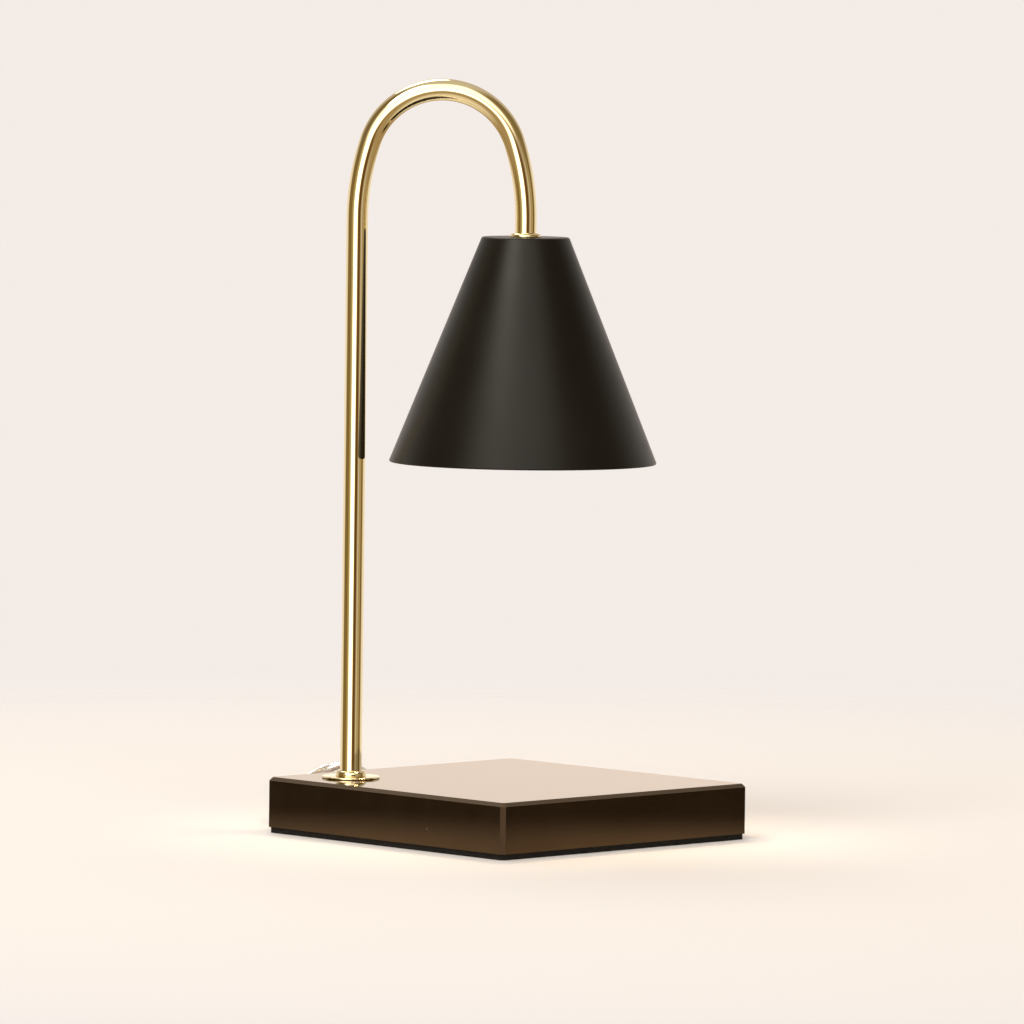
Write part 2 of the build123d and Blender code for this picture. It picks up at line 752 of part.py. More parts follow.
# --- All nodes -----------------------------------------------------------------------------------
nodes = {
    "stone_base": make_stone(),
    "foot_pad": make_pad(),
    "base_flange": make_flange(),
    "pole_collar": make_collar(collar_radius, collar_height, collar_round, stone_top + flange_thickness, pole_x),
    "base_washer": tube_shape(recess_ceiling - washer_thickness, washer_thickness, washer_radius, bore_radius, x=pole_x),
    "lock_nuts": [
        make_nut(pole_x, tube_bottom + thread_end),
        make_nut(shade_x, tube_end + thread_end),
    ],
    "cord_strain_relief": make_strain_relief(),
    "gooseneck_tube": make_tube(),
    "live_lead": make_lead(1),
    "neutral_lead": make_lead(-1),
    "shade_ferrule": make_collar(ferrule_radius, ferrule_height, ferrule_round, shade_top, shade_x),
    "shade": make_shade(),
    "holder_bracket": make_bracket(),
    "lampholder_body": make_holder(),
    "lampholder_contacts": [make_contact(1), make_contact(-1)],
    "holder_screws": make_holder_screws(),
    "bulb_base": make_bulb_base(),
    "bulb_pins": [make_pin(1), make_pin(-1)],
    "bulb_reflector": make_reflector(),
    "bulb_capsule": make_capsule(),
    "bulb_lens": make_lens(),
    "dimmer_lower_shell": make_lower_shell(),
    "dimmer_upper_shell": make_upper_shell(),
    "dimmer_wheel": make_wheel(),
    "dimmer_shaft": make_shaft(),
    "dimmer_pot": make_pot(),
    "dimmer_board": make_board(),
    "dimmer_screws": make_case_screws(),
    "dimmer_sleeves": make_sleeves(),
    "dimmer_leads": make_case_leads(),
    "lamp_cord": make_cord("lamp_cord", lamp_cord_route()),
    "mains_cord": make_cord("mains_cord", mains_cord_route()),
    "cord_coil": make_coil(),
    "plug_cord": make_cord("plug_cord", plug_cord_route()),
    "plug_body": make_plug_body(),
    "plug_blade_wide": make_blade(blade_wide, -1),
    "plug_blade_narrow": make_blade(blade_narrow, 1),
}

os.makedirs("parts", exist_ok=True)
for name, shape in nodes.items():
    if isinstance(shape, list):
        shape = Compound(children=[piece if isinstance(piece, Solid) else piece.solid() for piece in shape])
    export_step(shape, f"parts/{name}.step")
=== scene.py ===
# %% [markdown]
# # Candle warmer lamp
# A lamp with no flame: a warm reflector lamp under a black cone shade melts the candle that stands on the
# stone below it. The solids come in as a fixed frame, in metres. This lesson dresses them: it gives every
# solid a finish, models again the turned and bent pieces that need smooth polished surfaces, and lays the
# cord.

# %% Load the solids
import math

import bmesh
import bpy
from mathutils import Matrix, Vector


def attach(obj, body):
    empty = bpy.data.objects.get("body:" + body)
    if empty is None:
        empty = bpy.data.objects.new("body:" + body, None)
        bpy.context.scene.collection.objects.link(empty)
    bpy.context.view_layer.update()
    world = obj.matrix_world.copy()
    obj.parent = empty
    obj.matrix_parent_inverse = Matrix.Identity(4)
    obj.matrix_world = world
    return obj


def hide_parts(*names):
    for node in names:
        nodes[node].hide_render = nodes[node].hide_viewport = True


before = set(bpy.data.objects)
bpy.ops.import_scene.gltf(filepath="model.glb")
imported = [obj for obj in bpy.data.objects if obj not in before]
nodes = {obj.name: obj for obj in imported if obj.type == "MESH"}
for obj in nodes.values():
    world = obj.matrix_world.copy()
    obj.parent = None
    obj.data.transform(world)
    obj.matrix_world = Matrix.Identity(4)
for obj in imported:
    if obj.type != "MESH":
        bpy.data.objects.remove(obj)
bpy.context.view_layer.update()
scene = bpy.context.scene
scene.view_settings.view_transform = "Standard"
MM = 0.001

# %% [markdown]
# ## Camera
# A long lens from almost four metres away keeps the shade's sides straight and the base's corners square.
# The camera looks down by 3.7 degrees at a point inside the lamp. It is turned by a little under one degree
# about the upright, and rolled by 0.7 degrees, because the lamp stood slightly askew.

# %% Place the camera
LENS = 298.8
CAMERA_DISTANCE = 3.73757
LOOK_DOWN = math.radians(3.669)
ROLL = math.radians(0.734)
YAW = math.radians(0.883)
AIM = Vector((0.55 * MM, 0, 142.98 * MM))
SENSOR_WIDTH = 36.0
NEAREST = 0.1
FARTHEST = 100.0

camera_data = bpy.data.cameras.new("camera")
camera_data.sensor_width = SENSOR_WIDTH
camera_data.lens = LENS
camera_data.clip_start = NEAREST
camera_data.clip_end = FARTHEST
camera = bpy.data.objects.new("camera", camera_data)
scene.collection.objects.link(camera)
turn = Matrix.Rotation(YAW, 4, "Z")
back = Vector((0, -math.cos(LOOK_DOWN), math.sin(LOOK_DOWN))) * CAMERA_DISTANCE
aimed = Matrix.Rotation(math.radians(90) - LOOK_DOWN, 4, "X") @ Matrix.Rotation(ROLL, 4, "Z")
camera.matrix_world = turn @ Matrix.Translation(AIM + back) @ aimed
scene.camera = camera
print("camera at", [round(c, 3) for c in camera.matrix_world.translation])

# %% [markdown]
# ## Helpers for meshes
# Each new piece starts as a bmesh. `turned_bmesh` spins an outline once round, as on a lathe. `finish_piece`
# turns a bmesh into an object at the origin, shades it smooth except at sharp edges, and lets it ride on one
# of the lamp's bodies.


# %% Helpers for meshes
MERGE_DISTANCE = 1e-7  # metres


def finish_piece(name, bm, body="lamp", sharp=32.0):
    mesh = bpy.data.meshes.new(name)
    bm.to_mesh(mesh)
    bm.free()
    mesh.shade_smooth()
    mesh.set_sharp_from_angle(angle=math.radians(sharp))
    piece = bpy.data.objects.new(name, mesh)
    scene.collection.objects.link(piece)
    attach(piece, body)
    return piece


def turned_bmesh(outline, x, steps):
    """A closed outline of radius and height, in millimetres, spun about the upright through x."""
    bm = bmesh.new()
    verts = [bm.verts.new((radius * MM, 0, height * MM)) for radius, height in outline]
    edges = [bm.edges.new(pair) for pair in zip(verts, verts[1:] + verts[:1])]
    bmesh.ops.spin(
        bm, geom=verts + edges, cent=(0, 0, 0), axis=(0, 0, 1), angle=math.tau, steps=steps, use_merge=True
    )
    bmesh.ops.remove_doubles(bm, verts=bm.verts, dist=MERGE_DISTANCE)
    bmesh.ops.translate(bm, vec=(x * MM, 0, 0), verts=bm.verts)
    bmesh.ops.recalc_face_normals(bm, faces=bm.faces)
    return bm


def arc_points(centre_r, centre_z, radius, start, end, count):
    """Points of an arc in an outline, from one angle to another in degrees."""
    points = []
    for i in range(count + 1):
        angle = math.radians(start + (end - start) * i / count)
        points.append((centre_r + radius * math.cos(angle), centre_z + radius * math.sin(angle)))
    return points


# %% [markdown]
# ## The cord's cross-section
# The cord is a clear flat twin: two stranded copper cores side by side in clear vinyl, 5.2 mm wide and
# 2.6 mm thick, with a groove along the middle. A curve's bevel object gives any cross-section, so one flat
# outline makes the vinyl and two small circles make the cores inside it. The outlines are only shapes for
# the bevel and are never linked to the scene. They are drawn in millimetres, and the radius of each point
# of the curve scales them to metres.


# %% Draw the cross-sections
CORD_THICKNESS = 2.6
CORE_OFFSET = 1.3
CORE_RADIUS = 0.62
CORE_POINTS = 8
LOBE_POINTS = 9
WEB = 0.62  # half thickness of the vinyl between the cores
GROOVE_ANGLE = 30  # degrees of each lobe that the groove's slope takes up


def section_object(name, loop):
    data = bpy.data.curves.new(name, "CURVE")
    data.dimensions = "2D"
    spline = data.splines.new("POLY")
    spline.points.add(len(loop) - 1)
    for point, (x, y) in zip(spline.points, loop):
        point.co = (x, y, 0, 1)
    spline.use_cyclic_u = True
    return bpy.data.objects.new(name, data)


def circle_loop(centre):
    loop = []
    for i in range(CORE_POINTS):
        angle = math.tau * i / CORE_POINTS
        loop.append((centre + CORE_RADIUS * math.cos(angle), CORE_RADIUS * math.sin(angle)))
    return loop


def twin_loop():
    """Two round lobes that meet at a shallow groove."""
    lobe = CORD_THICKNESS / 2
    end = math.degrees(math.asin(WEB / lobe))
    sweep = 360 - 2 * GROOVE_ANGLE - 2 * end
    right = []
    for i in range(LOBE_POINTS):
        angle = math.radians(-180 + end + GROOVE_ANGLE + sweep * i / (LOBE_POINTS - 1))
        right.append((CORE_OFFSET + lobe * math.cos(angle), lobe * math.sin(angle)))
    left = [(-x, -y) for x, y in right]
    return right + left


vinyl_loop = twin_loop()
vinyl_section = section_object("vinyl_section", vinyl_loop)
core_sections = [
    section_object("copper_section", circle_loop(CORE_OFFSET)),
    section_object("tinned_section", circle_loop(-CORE_OFFSET)),
]
print("cord section points", len(vinyl_loop))

# %% [markdown]
# ## The cord's route
# A cord lies in smooth curves, so each route is one NURBS spline of order 3, pulled along by a few points
# in millimetres. The first run leaves the strain relief, humps up behind the base and comes down to the
# inline dimmer. The second leaves the dimmer, goes round the coil and ends in the plug. In the coil the
# flat cord stands on edge: one layer winds inwards on the floor, the other winds outwards on top of it.

# %% Lay out the routes
LAMP_ROUTE = [
    (-94.604, 25.604, 6.5),
    (-99.837, 30.837, 6.5),
    (-102.6, 37.8, 6.9),
    (-103.3, 45.6, 8.2),
    (-101.4, 53.2, 10.8),
    (-95.0, 57.8, 14.4),
    (-87.4, 62.4, 19.4),
    (-80.0, 66.6, 23.0),
    (-71.0, 67.6, 24.4),
    (-61.4, 69.8, 18.4),
    (-51.0, 75.0, 10.2),
    (-39.0, 84.5, 4.6),
    (-27.0, 95.0, 2.6),
    (-15.4, 106.4, 2.6),
    (-6.8, 114.6, 3.2),
    (0.6, 118.8, 4.2),
    (9.2, 119.6, 5.6),
    (17.84, 114.66, 6.5),
    (22.787, 109.713, 6.5),
]
MAINS_ROUTE = [
    (65.213, 67.287, 6.5),
    (71.577, 60.923, 6.5),
    (79.5, 58.2, 5.4),
    (87.7, 59.2, 4.2),
    (94.7, 63.7, 3.3),
    (99.0, 70.8, 2.7),
    (100.0, 82.8, 2.6),
    (99.0, 96.5, 2.6),
    (97.0, 110.5, 2.6),
    (94.8, 124.0, 2.6),
]
PLUG_ROUTE = [
    (49.5, 167.6, 6.6),
    (35.5, 165.0, 5.4),
    (22.51, 161.01, 7.0),
    (10.5, 157.2, 7.0),
]
COIL_CENTRE = (63.0, 137.0)
COIL_OUTSIDE = 30.9
COIL_PITCH = 2.8
COIL_TURNS = 3.125  # in each layer
COIL_POINTS = 16  # points in a turn
LAYER_HEIGHTS = (2.6, 7.8)
CLIMB_POINTS = 4  # points over which the cord climbs from the lower layer to the upper one
TIE_POINT = 8  # the point of each turn that the tie holds, on the coil's left side
TIE_LIFTS = (0.65, 0.35)  # how far the tie under the coil lifts each layer there


def coil_route():
    """One layer inwards, then one outwards, anticlockwise from the right side to the back."""
    # A curve of order 3 runs a little inside its points, so the points go out by as much.
    pull = 1 / (0.75 + 0.25 * math.cos(math.tau / COIL_POINTS))
    points = []
    count = int(COIL_TURNS * COIL_POINTS)
    for i in range(2 * count + 1):
        angle = math.tau * i / COIL_POINTS
        inwards = min(i, 2 * count - i) / COIL_POINTS
        radius = (COIL_OUTSIDE - COIL_PITCH * inwards) * pull
        climb = min(max((i - count + CLIMB_POINTS / 2) / CLIMB_POINTS, 0), 1)
        height = LAYER_HEIGHTS[0] + (LAYER_HEIGHTS[1] - LAYER_HEIGHTS[0]) * climb
        if i % COIL_POINTS == TIE_POINT:
            height += TIE_LIFTS[i > count]
        x = COIL_CENTRE[0] + radius * math.cos(angle)
        y = COIL_CENTRE[1] + radius * math.sin(angle)
        points.append((x, y, height))
    return points


COIL_ROUTE = coil_route()
print("coil points", len(COIL_ROUTE))

# %% [markdown]
# ## Lay the cord
# `tilt` turns the flat cross-section about the route. The cord leaves the base flat, turns on edge as it
# climbs, lies flat over its hump and goes back on edge. It is flat again at the dimmer and at the plug. The
# two cores follow the same route with their own sections.


# %% Lay the cord
def cord_curve(name, route, tilts, section):
    data = bpy.data.curves.new(name, "CURVE")
    data.dimensions = "3D"
    data.twist_mode = "Z_UP"
    data.resolution_u = 4
    spline = data.splines.new("NURBS")
    spline.points.add(len(route) - 1)
    for point, place, tilt in zip(spline.points, route, tilts):
        point.co = (place[0] * MM, place[1] * MM, place[2] * MM, 1)
        point.radius = MM
        point.tilt = math.radians(tilt)
    spline.order_u = 3
    spline.use_endpoint_u = True
    data.bevel_mode = "OBJECT"
    data.bevel_object = section
    data.use_fill_caps = True
    piece = bpy.data.objects.new(name, data)
    scene.collection.objects.link(piece)
    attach(piece, "lamp")
    return piece


ON_EDGE = 90.0
FLAT = 0.0
HUMP_TILTS = [FLAT, FLAT, 30, 60, 75, 75, 62, 28, 4, 20, 55, 80]
INTO_DIMMER_TILTS = [70, 30, FLAT, FLAT]
OUT_OF_DIMMER_TILTS = [FLAT, FLAT, 30, 65]
INTO_PLUG_TILTS = [70, 35, FLAT, FLAT]


def all_tilts(points, first, last):
    """The first and last tilts of a route, with the cord on edge between them."""
    return first + [ON_EDGE] * (len(points) - len(first) - len(last)) + last


mains_points = MAINS_ROUTE + COIL_ROUTE + PLUG_ROUTE
lamp_tilts = all_tilts(LAMP_ROUTE, HUMP_TILTS, INTO_DIMMER_TILTS)
mains_tilts = all_tilts(mains_points, OUT_OF_DIMMER_TILTS, INTO_PLUG_TILTS)

lamp_cord = cord_curve("lamp_cord_vinyl", LAMP_ROUTE, lamp_tilts, vinyl_section)
mains_cord = cord_curve("mains_cord_vinyl", mains_points, mains_tilts, vinyl_section)
core_names = ("copper", "tinned")
lamp_cores = [
    cord_curve("lamp_cord_" + name, LAMP_ROUTE, lamp_tilts, section)
    for name, section in zip(core_names, core_sections)
]
mains_cores = [
    cord_curve("mains_cord_" + name, mains_points, mains_tilts, section)
    for name, section in zip(core_names, core_sections)
]
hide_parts("lamp_cord")
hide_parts("mains_cord", "cord_coil", "plug_cord")
print("cord pieces", len(lamp_cores + mains_cores) + 2)

# %% [markdown]
# ## How long the cord is
# A curve's length is easiest to measure on its bare line, without the cross-section. Both runs are
# measured here, and their lengths are printed.


def route_length(curve):
    """Length of a curve's own line, in metres."""
    bare = curve.data.copy()
    bare.bevel_mode = "ROUND"
    bare.bevel_object = None
    holder = bpy.data.objects.new("bare", bare)
    line = bpy.data.meshes.new_from_object(holder)
    points = [vertex.co for vertex in line.vertices]
    length = sum((b - a).length for a, b in zip(points, points[1:]))
    bpy.data.objects.remove(holder)
    return length


print("lamp cord", round(route_length(lamp_cord), 3), "mains cord", round(route_length(mains_cord), 3))

# %% [markdown]
# ## Helpers for nodes
# A material and the world are both small graphs of nodes. `add` makes a node and fills its inputs in one
# go: a plain value is set on the socket, and another node's output is linked to it.


# %% Helpers for nodes
def new_tree(owner):
    owner.use_nodes = True
    owner.node_tree.nodes.clear()
    return owner.node_tree


def find_input(node, name):
    """An input by its name, with _ for a space, or by its number: i0, i1 and so on."""
    if name[0] == "i" and name[1:].isdigit():
        return node.inputs[int(name[1:])]
    return node.inputs[name.replace("_", " ")]


def add(tree, kind, **inputs):
    """A new node, with its inputs set to the values or linked to the sockets given."""
    node = tree.nodes.new(kind)
    for name, value in inputs.items():
        socket = find_input(node, name)
        if isinstance(value, bpy.types.NodeSocket):
            tree.links.new(value, socket)
        else:
            socket.default_value = value
    return node


def math_node(tree, operation, first, second=0.0, clamp=False):
    node = add(tree, "ShaderNodeMath", i0=first, i1=second)
    node.operation = operation
    node.use_clamp = clamp
    return node.outputs[0]


def smooth_step(tree, value, start, end):
    """Rises smoothly from 0 to 1 as a value goes from start to end."""
    step = add(tree, "ShaderNodeMapRange", Value=value, From_Min=start, From_Max=end)
    step.interpolation_type = "SMOOTHSTEP"
    return step.outputs["Result"]


def blend_colours(tree, mask, first, second):
    """Goes from the first colour to the second as the mask goes from 0 to 1."""
    mix = tree.nodes.new("ShaderNodeMix")
    mix.data_type = "RGBA"
    tree.links.new(mask, mix.inputs["Factor"])
    for name, colour in (("A", first), ("B", second)):
        if isinstance(colour, bpy.types.NodeSocket):
            tree.links.new(colour, mix.inputs[name])
        else:
            mix.inputs[name].default_value = (*colour, 1)
    return mix.outputs["Result"]


# %% [markdown]
# ## The floor
# The floor is a pale disc that fades out at its edge into a background of the same colour, so no horizon
# shows from any side. For mirrored rays it fades out much sooner, so that the polished stone shows a bright
# strip of floor at its foot and the darker room above it. Seen from below the floor is clear, so that the
# underside can be looked at too.

# %% Floor
BACKGROUND = (0.90, 0.838, 0.800)
FLOOR_COLOUR = (0.885, 0.838, 0.808)
FLOOR_RADIUS = 1.0
FLOOR_DROP = 0.0001  # keeps the floor just clear of the pad's underside
SEEN_FADE = (0.30, 0.95)  # where the floor fades out for the eye
MIRRORED_FADE = (0.08, 0.23)  # and for polished surfaces, which see only the nearby floor
floor_material = bpy.data.materials.new("floor")
tree = new_tree(floor_material)
rays = add(tree, "ShaderNodeLightPath")
place = add(tree, "ShaderNodeTexCoord")
distance = add(tree, "ShaderNodeVectorMath", i0=place.outputs["Object"])
distance.operation = "LENGTH"
seen_fade = smooth_step(tree, distance.outputs["Value"], *SEEN_FADE)
mirrored_fade = smooth_step(tree, distance.outputs["Value"], *MIRRORED_FADE)
fade = add(tree, "ShaderNodeMix", Factor=rays.outputs["Is Glossy Ray"], A=seen_fade, B=mirrored_fade)
from_below = add(tree, "ShaderNodeNewGeometry").outputs["Backfacing"]
gone = math_node(tree, "MAXIMUM", fade.outputs["Result"], from_below)
surface = add(
    tree, "ShaderNodeBsdfPrincipled", Base_Color=(*FLOOR_COLOUR, 1), Roughness=0.7, Specular_IOR_Level=0.2
)
clear = add(tree, "ShaderNodeBsdfTransparent")
blend = add(
    tree, "ShaderNodeMixShader", i0=gone, i1=surface.outputs["BSDF"], i2=clear.outputs["BSDF"]
)
add(tree, "ShaderNodeOutputMaterial", Surface=blend.outputs["Shader"])

bm = bmesh.new()
bmesh.ops.create_circle(bm, cap_ends=True, segments=96, radius=FLOOR_RADIUS)
floor_mesh = bpy.data.meshes.new("floor")
bm.to_mesh(floor_mesh)
bm.free()
floor_mesh.materials.append(floor_material)
floor = bpy.data.objects.new("floor", floor_mesh)
floor.location.z = -FLOOR_DROP
scene.collection.objects.link(floor)
print("floor radius", FLOOR_RADIUS)

# %% [markdown]
# ## The room
# The polished tube, stone and paint look like the room round them, so the room is a world of soft bands.
# Two colour ramps over the compass direction give them. Zero degrees is the side that the lamp is seen
# from, and angles grow to the right. At eye level a bright window stands at zero and a little to the left,
# with brown walls on both sides of it and pale ones behind the lamp. A thin dark strip at each side is what
# the stone's two front sides mirror. Above eye level the window reaches further right, so its stripe runs
# on over the tube's crown. Overhead is a plain ceiling, below eye level a dim brown floor, and underfoot it
# is pale again.

# %% Room
EYE_LEVEL = [
    (-180, (1.36, 1.13, 0.94)),
    (-170, (1.30, 1.08, 0.90)),
    (-158, (0.90, 0.82, 0.74)),
    (-118, (1.00, 0.95, 0.95)),
    (-104, (0.60, 0.52, 0.38)),
    (-98, (0.36, 0.28, 0.13)),
    (-94, (0.16, 0.11, 0.06)),
    (-86, (0.16, 0.11, 0.06)),
    (-81, (0.32, 0.23, 0.08)),
    (-68, (0.17, 0.11, 0.03)),
    (-58, (0.36, 0.27, 0.12)),
    (-44, (0.48, 0.40, 0.23)),
    (-36, (0.80, 0.75, 0.60)),
    (-31, (2.60, 2.55, 2.45)),
    (0, (2.60, 2.55, 2.45)),
    (8, (0.24, 0.14, 0.05)),
    (28, (0.09, 0.03, 0.006)),
    (38, (0.36, 0.28, 0.16)),
    (48, (0.74, 0.69, 0.60)),
    (58, (0.42, 0.35, 0.28)),
    (68, (0.46, 0.36, 0.18)),
    (80, (0.46, 0.36, 0.18)),
    (85, (0.15, 0.10, 0.055)),
    (96, (0.15, 0.10, 0.055)),
    (101, (0.50, 0.39, 0.22)),
    (110, (0.74, 0.68, 0.55)),
    (120, (1.00, 0.95, 0.95)),
    (158, (0.90, 0.82, 0.74)),
    (170, (1.30, 1.08, 0.90)),
    (180, (1.36, 1.13, 0.94)),
]
ABOVE = [
    (-180, (0.62, 0.56, 0.50)),
    (-124, (0.55, 0.50, 0.45)),
    (-104, (0.22, 0.17, 0.09)),
    (-66, (0.20, 0.15, 0.08)),
    (-50, (0.50, 0.44, 0.32)),
    (-40, (2.00, 1.95, 1.86)),
    (26, (2.00, 1.95, 1.86)),
    (42, (0.36, 0.28, 0.15)),
    (60, (0.24, 0.18, 0.09)),
    (104, (0.22, 0.17, 0.09)),
    (124, (0.55, 0.50, 0.45)),
    (180, (0.62, 0.56, 0.50)),
]
CEILING = (0.64, 0.60, 0.54)
BELOW = (0.42, 0.32, 0.19)
UNDERFOOT = (0.90, 0.82, 0.68)
# Heights of a direction, from -1 straight down to 1 straight up, between which a part gives way to the next.
ABOVE_STEP = (0.06, 0.34)
CEILING_STEP = (0.78, 0.95)
BELOW_STEP = (-0.12, -0.30)
UNDERFOOT_STEP = (-0.50, -0.85)

world = bpy.data.worlds.new("room")
scene.world = world
tree = new_tree(world)
direction = add(tree, "ShaderNodeTexCoord")
parts = add(tree, "ShaderNodeSeparateXYZ", Vector=direction.outputs["Generated"])
towards = math_node(tree, "MULTIPLY", parts.outputs["Y"], -1.0)
compass = math_node(tree, "ARCTAN2", parts.outputs["X"], towards)
along = add(tree, "ShaderNodeMapRange", Value=compass, From_Min=-math.pi, From_Max=math.pi)


def band_ramp(bands):
    ramp = add(tree, "ShaderNodeValToRGB", Fac=along.outputs["Result"])
    stops = ramp.color_ramp.elements
    for angle, colour in bands[1:-1]:
        stops.new((angle + 180) / 360)
    for stop, (angle, colour) in zip(stops, bands):
        stop.color = (*colour, 1)
    return ramp.outputs["Color"]


def by_height(step, before, after):
    return blend_colours(tree, smooth_step(tree, parts.outputs["Z"], *step), before, after)


room = by_height(ABOVE_STEP, band_ramp(EYE_LEVEL), band_ramp(ABOVE))
room = by_height(CEILING_STEP, room, CEILING)
room = by_height(BELOW_STEP, room, BELOW)
room = by_height(UNDERFOOT_STEP, room, UNDERFOOT)
lit = add(tree, "ShaderNodeBackground", Color=room, Strength=1.0)
seen = add(tree, "ShaderNodeBackground", Color=(*BACKGROUND, 1), Strength=1.0)
rays = add(tree, "ShaderNodeLightPath")
choose = add(
    tree, "ShaderNodeMixShader",
    i0=rays.outputs["Is Camera Ray"], i1=lit.outputs["Background"], i2=seen.outputs["Background"],
)
add(tree, "ShaderNodeOutputWorld", Surface=choose.outputs["Shader"])
print("bands", len(EYE_LEVEL), len(ABOVE))

# %% [markdown]
# ## Soft lamps
# Two large soft lamps light the floor from high up: a key from the front left and a weaker fill from behind
# and left. They are discs that face the lamp, and their levels keep a pale surface just under white. The
# lamp is switched on, so a small warm disc under its lens shines down on the stone.

# %% Soft lamps
SOFT_SIZE = 1.4
SOFT_AIM = Vector((0, 0, 0.12))
LENS_CENTRE = (0.005, 0.0, 0.1795)
LENS_WIDTH = 0.044
WARM_SPREAD = math.radians(95)


def soft_lamp(name, place, size, power, colour):
    data = bpy.data.lights.new(name, "AREA")
    data.shape = "DISK"
    data.size = size
    data.energy = power
    data.color = colour
    lamp = bpy.data.objects.new(name, data)
    facing = (SOFT_AIM - Vector(place)).to_track_quat("-Z", "Y").to_matrix().to_4x4()
    lamp.matrix_world = Matrix.Translation(place) @ facing
    scene.collection.objects.link(lamp)
    return lamp


key = soft_lamp("key", (-1.1, -1.5, 2.3), SOFT_SIZE, power=25.0, colour=(1.0, 0.985, 0.96))
fill = soft_lamp("fill", (-0.6, 1.3, 2.2), SOFT_SIZE, power=17.0, colour=(1.0, 0.98, 0.95))
warm = soft_lamp("warm_light", LENS_CENTRE, LENS_WIDTH, power=0.10, colour=(1.0, 0.74, 0.46))
warm.matrix_world = Matrix.Translation(LENS_CENTRE)
warm.data.spread = WARM_SPREAD
print("watts", [round(lamp.data.energy, 2) for lamp in (key, fill, warm)])

# %% [markdown]
# ## Shared surface effects
# Real finishes are never even. Two node groups are used by many materials. `mottle` gives a soft mask for
# colour and roughness, at a scale that each material sets. `grain` gives a height for fine relief.


# %% Node groups
def new_group(name, sockets):
    group = bpy.data.node_groups.new(name, "ShaderNodeTree")
    for label, way, kind, value in sockets:
        socket = group.interface.new_socket(name=label, in_out=way, socket_type=kind)
        if value is not None:
            socket.default_value = value
    return group, group.nodes.new("NodeGroupInput"), group.nodes.new("NodeGroupOutput")


def make_mottle():
    group, start, end = new_group("mottle", [
        ("Scale", "INPUT", "NodeSocketFloat", 40.0),
        ("Stretch", "INPUT", "NodeSocketFloat", 1.0),
        ("Contrast", "INPUT", "NodeSocketFloat", 2.0),
        ("Mask", "OUTPUT", "NodeSocketFloat", None),
    ])
    place = add(group, "ShaderNodeTexCoord")
    stretch = add(group, "ShaderNodeCombineXYZ", X=1.0, Y=1.0, Z=start.outputs["Stretch"])
    scaled = add(group, "ShaderNodeVectorMath", i0=place.outputs["Object"], i1=stretch.outputs["Vector"])
    scaled.operation = "MULTIPLY"
    noise = add(
        group, "ShaderNodeTexNoise",
        Vector=scaled.outputs["Vector"], Scale=start.outputs["Scale"], Detail=4.0, Roughness=0.55,
    )
    centred = math_node(group, "SUBTRACT", noise.outputs["Fac"], 0.5)
    spread = math_node(group, "MULTIPLY", centred, start.outputs["Contrast"])
    mask = math_node(group, "ADD", spread, 0.5, clamp=True)
    group.links.new(mask, end.inputs["Mask"])
    return group


def make_grain():
    group, start, end = new_group("grain", [
        ("Scale", "INPUT", "NodeSocketFloat", 400.0),
        ("Pebble", "INPUT", "NodeSocketFloat", 0.5),
        ("Height", "OUTPUT", "NodeSocketFloat", None),
    ])
    place = add(group, "ShaderNodeTexCoord").outputs["Object"]
    scale = start.outputs["Scale"]
    noise = add(group, "ShaderNodeTexNoise", Vector=place, Scale=scale, Detail=3.0)
    cells = add(group, "ShaderNodeTexVoronoi", Vector=place, Scale=scale)
    height = add(
        group, "ShaderNodeMix",
        Factor=start.outputs["Pebble"], A=noise.outputs["Fac"], B=cells.outputs["Distance"],
    )
    group.links.new(height.outputs["Result"], end.inputs["Height"])
    return group


mottle_group = make_mottle()
grain_group = make_grain()
print("groups", len(bpy.data.node_groups))

# %% [markdown]
# ## Finishes
# `finish` builds a material from plain words: two colours that the mottle mask blends, two roughness values
# that a second mask blends, and a fine relief. What is even all over, such as metal or coat, is set on the
# shader's own sockets.


# %% Material builder
def use_group(tree, group, **inputs):
    node = tree.nodes.new("ShaderNodeGroup")
    node.node_tree = group
    for name, value in inputs.items():
        node.inputs[name].default_value = value
    return node


def finish(
    name, colours, roughness, patch=40.0, smear=25.0, grain=600.0, relief=0.02, depth=0.1, pebble=0.5,
    stretch=1.0, **plain
):
    """A material from two colours and two roughness values; the rest sets its patches, smears and relief."""
    material = bpy.data.materials.new(name)
    tree = new_tree(material)
    patches = use_group(tree, mottle_group, Scale=patch, Contrast=2.5, Stretch=stretch)
    colour = blend_colours(tree, patches.outputs["Mask"], *colours)
    smears = use_group(tree, mottle_group, Scale=smear, Contrast=3.0, Stretch=stretch)
    low, high = roughness
    rough = add(tree, "ShaderNodeMapRange", Value=smears.outputs["Mask"], To_Min=low, To_Max=high)
    height = use_group(tree, grain_group, Scale=grain, Pebble=pebble)
    bump = add(tree, "ShaderNodeBump", Strength=relief, Distance=depth * MM, Height=height.outputs["Height"])
    shader = add(
        tree, "ShaderNodeBsdfPrincipled",
        Base_Color=colour, Roughness=rough.outputs["Result"], Normal=bump.outputs["Normal"], **plain,
    )
    add(tree, "ShaderNodeOutputMaterial", Surface=shader.outputs["BSDF"])
    return material


def dress(material, *pieces):
    """Gives a material to pieces or to solids named by node."""
    for piece in pieces:
        target = nodes[piece] if isinstance(piece, str) else piece
        target.data.materials.clear()
        target.data.materials.append(material)
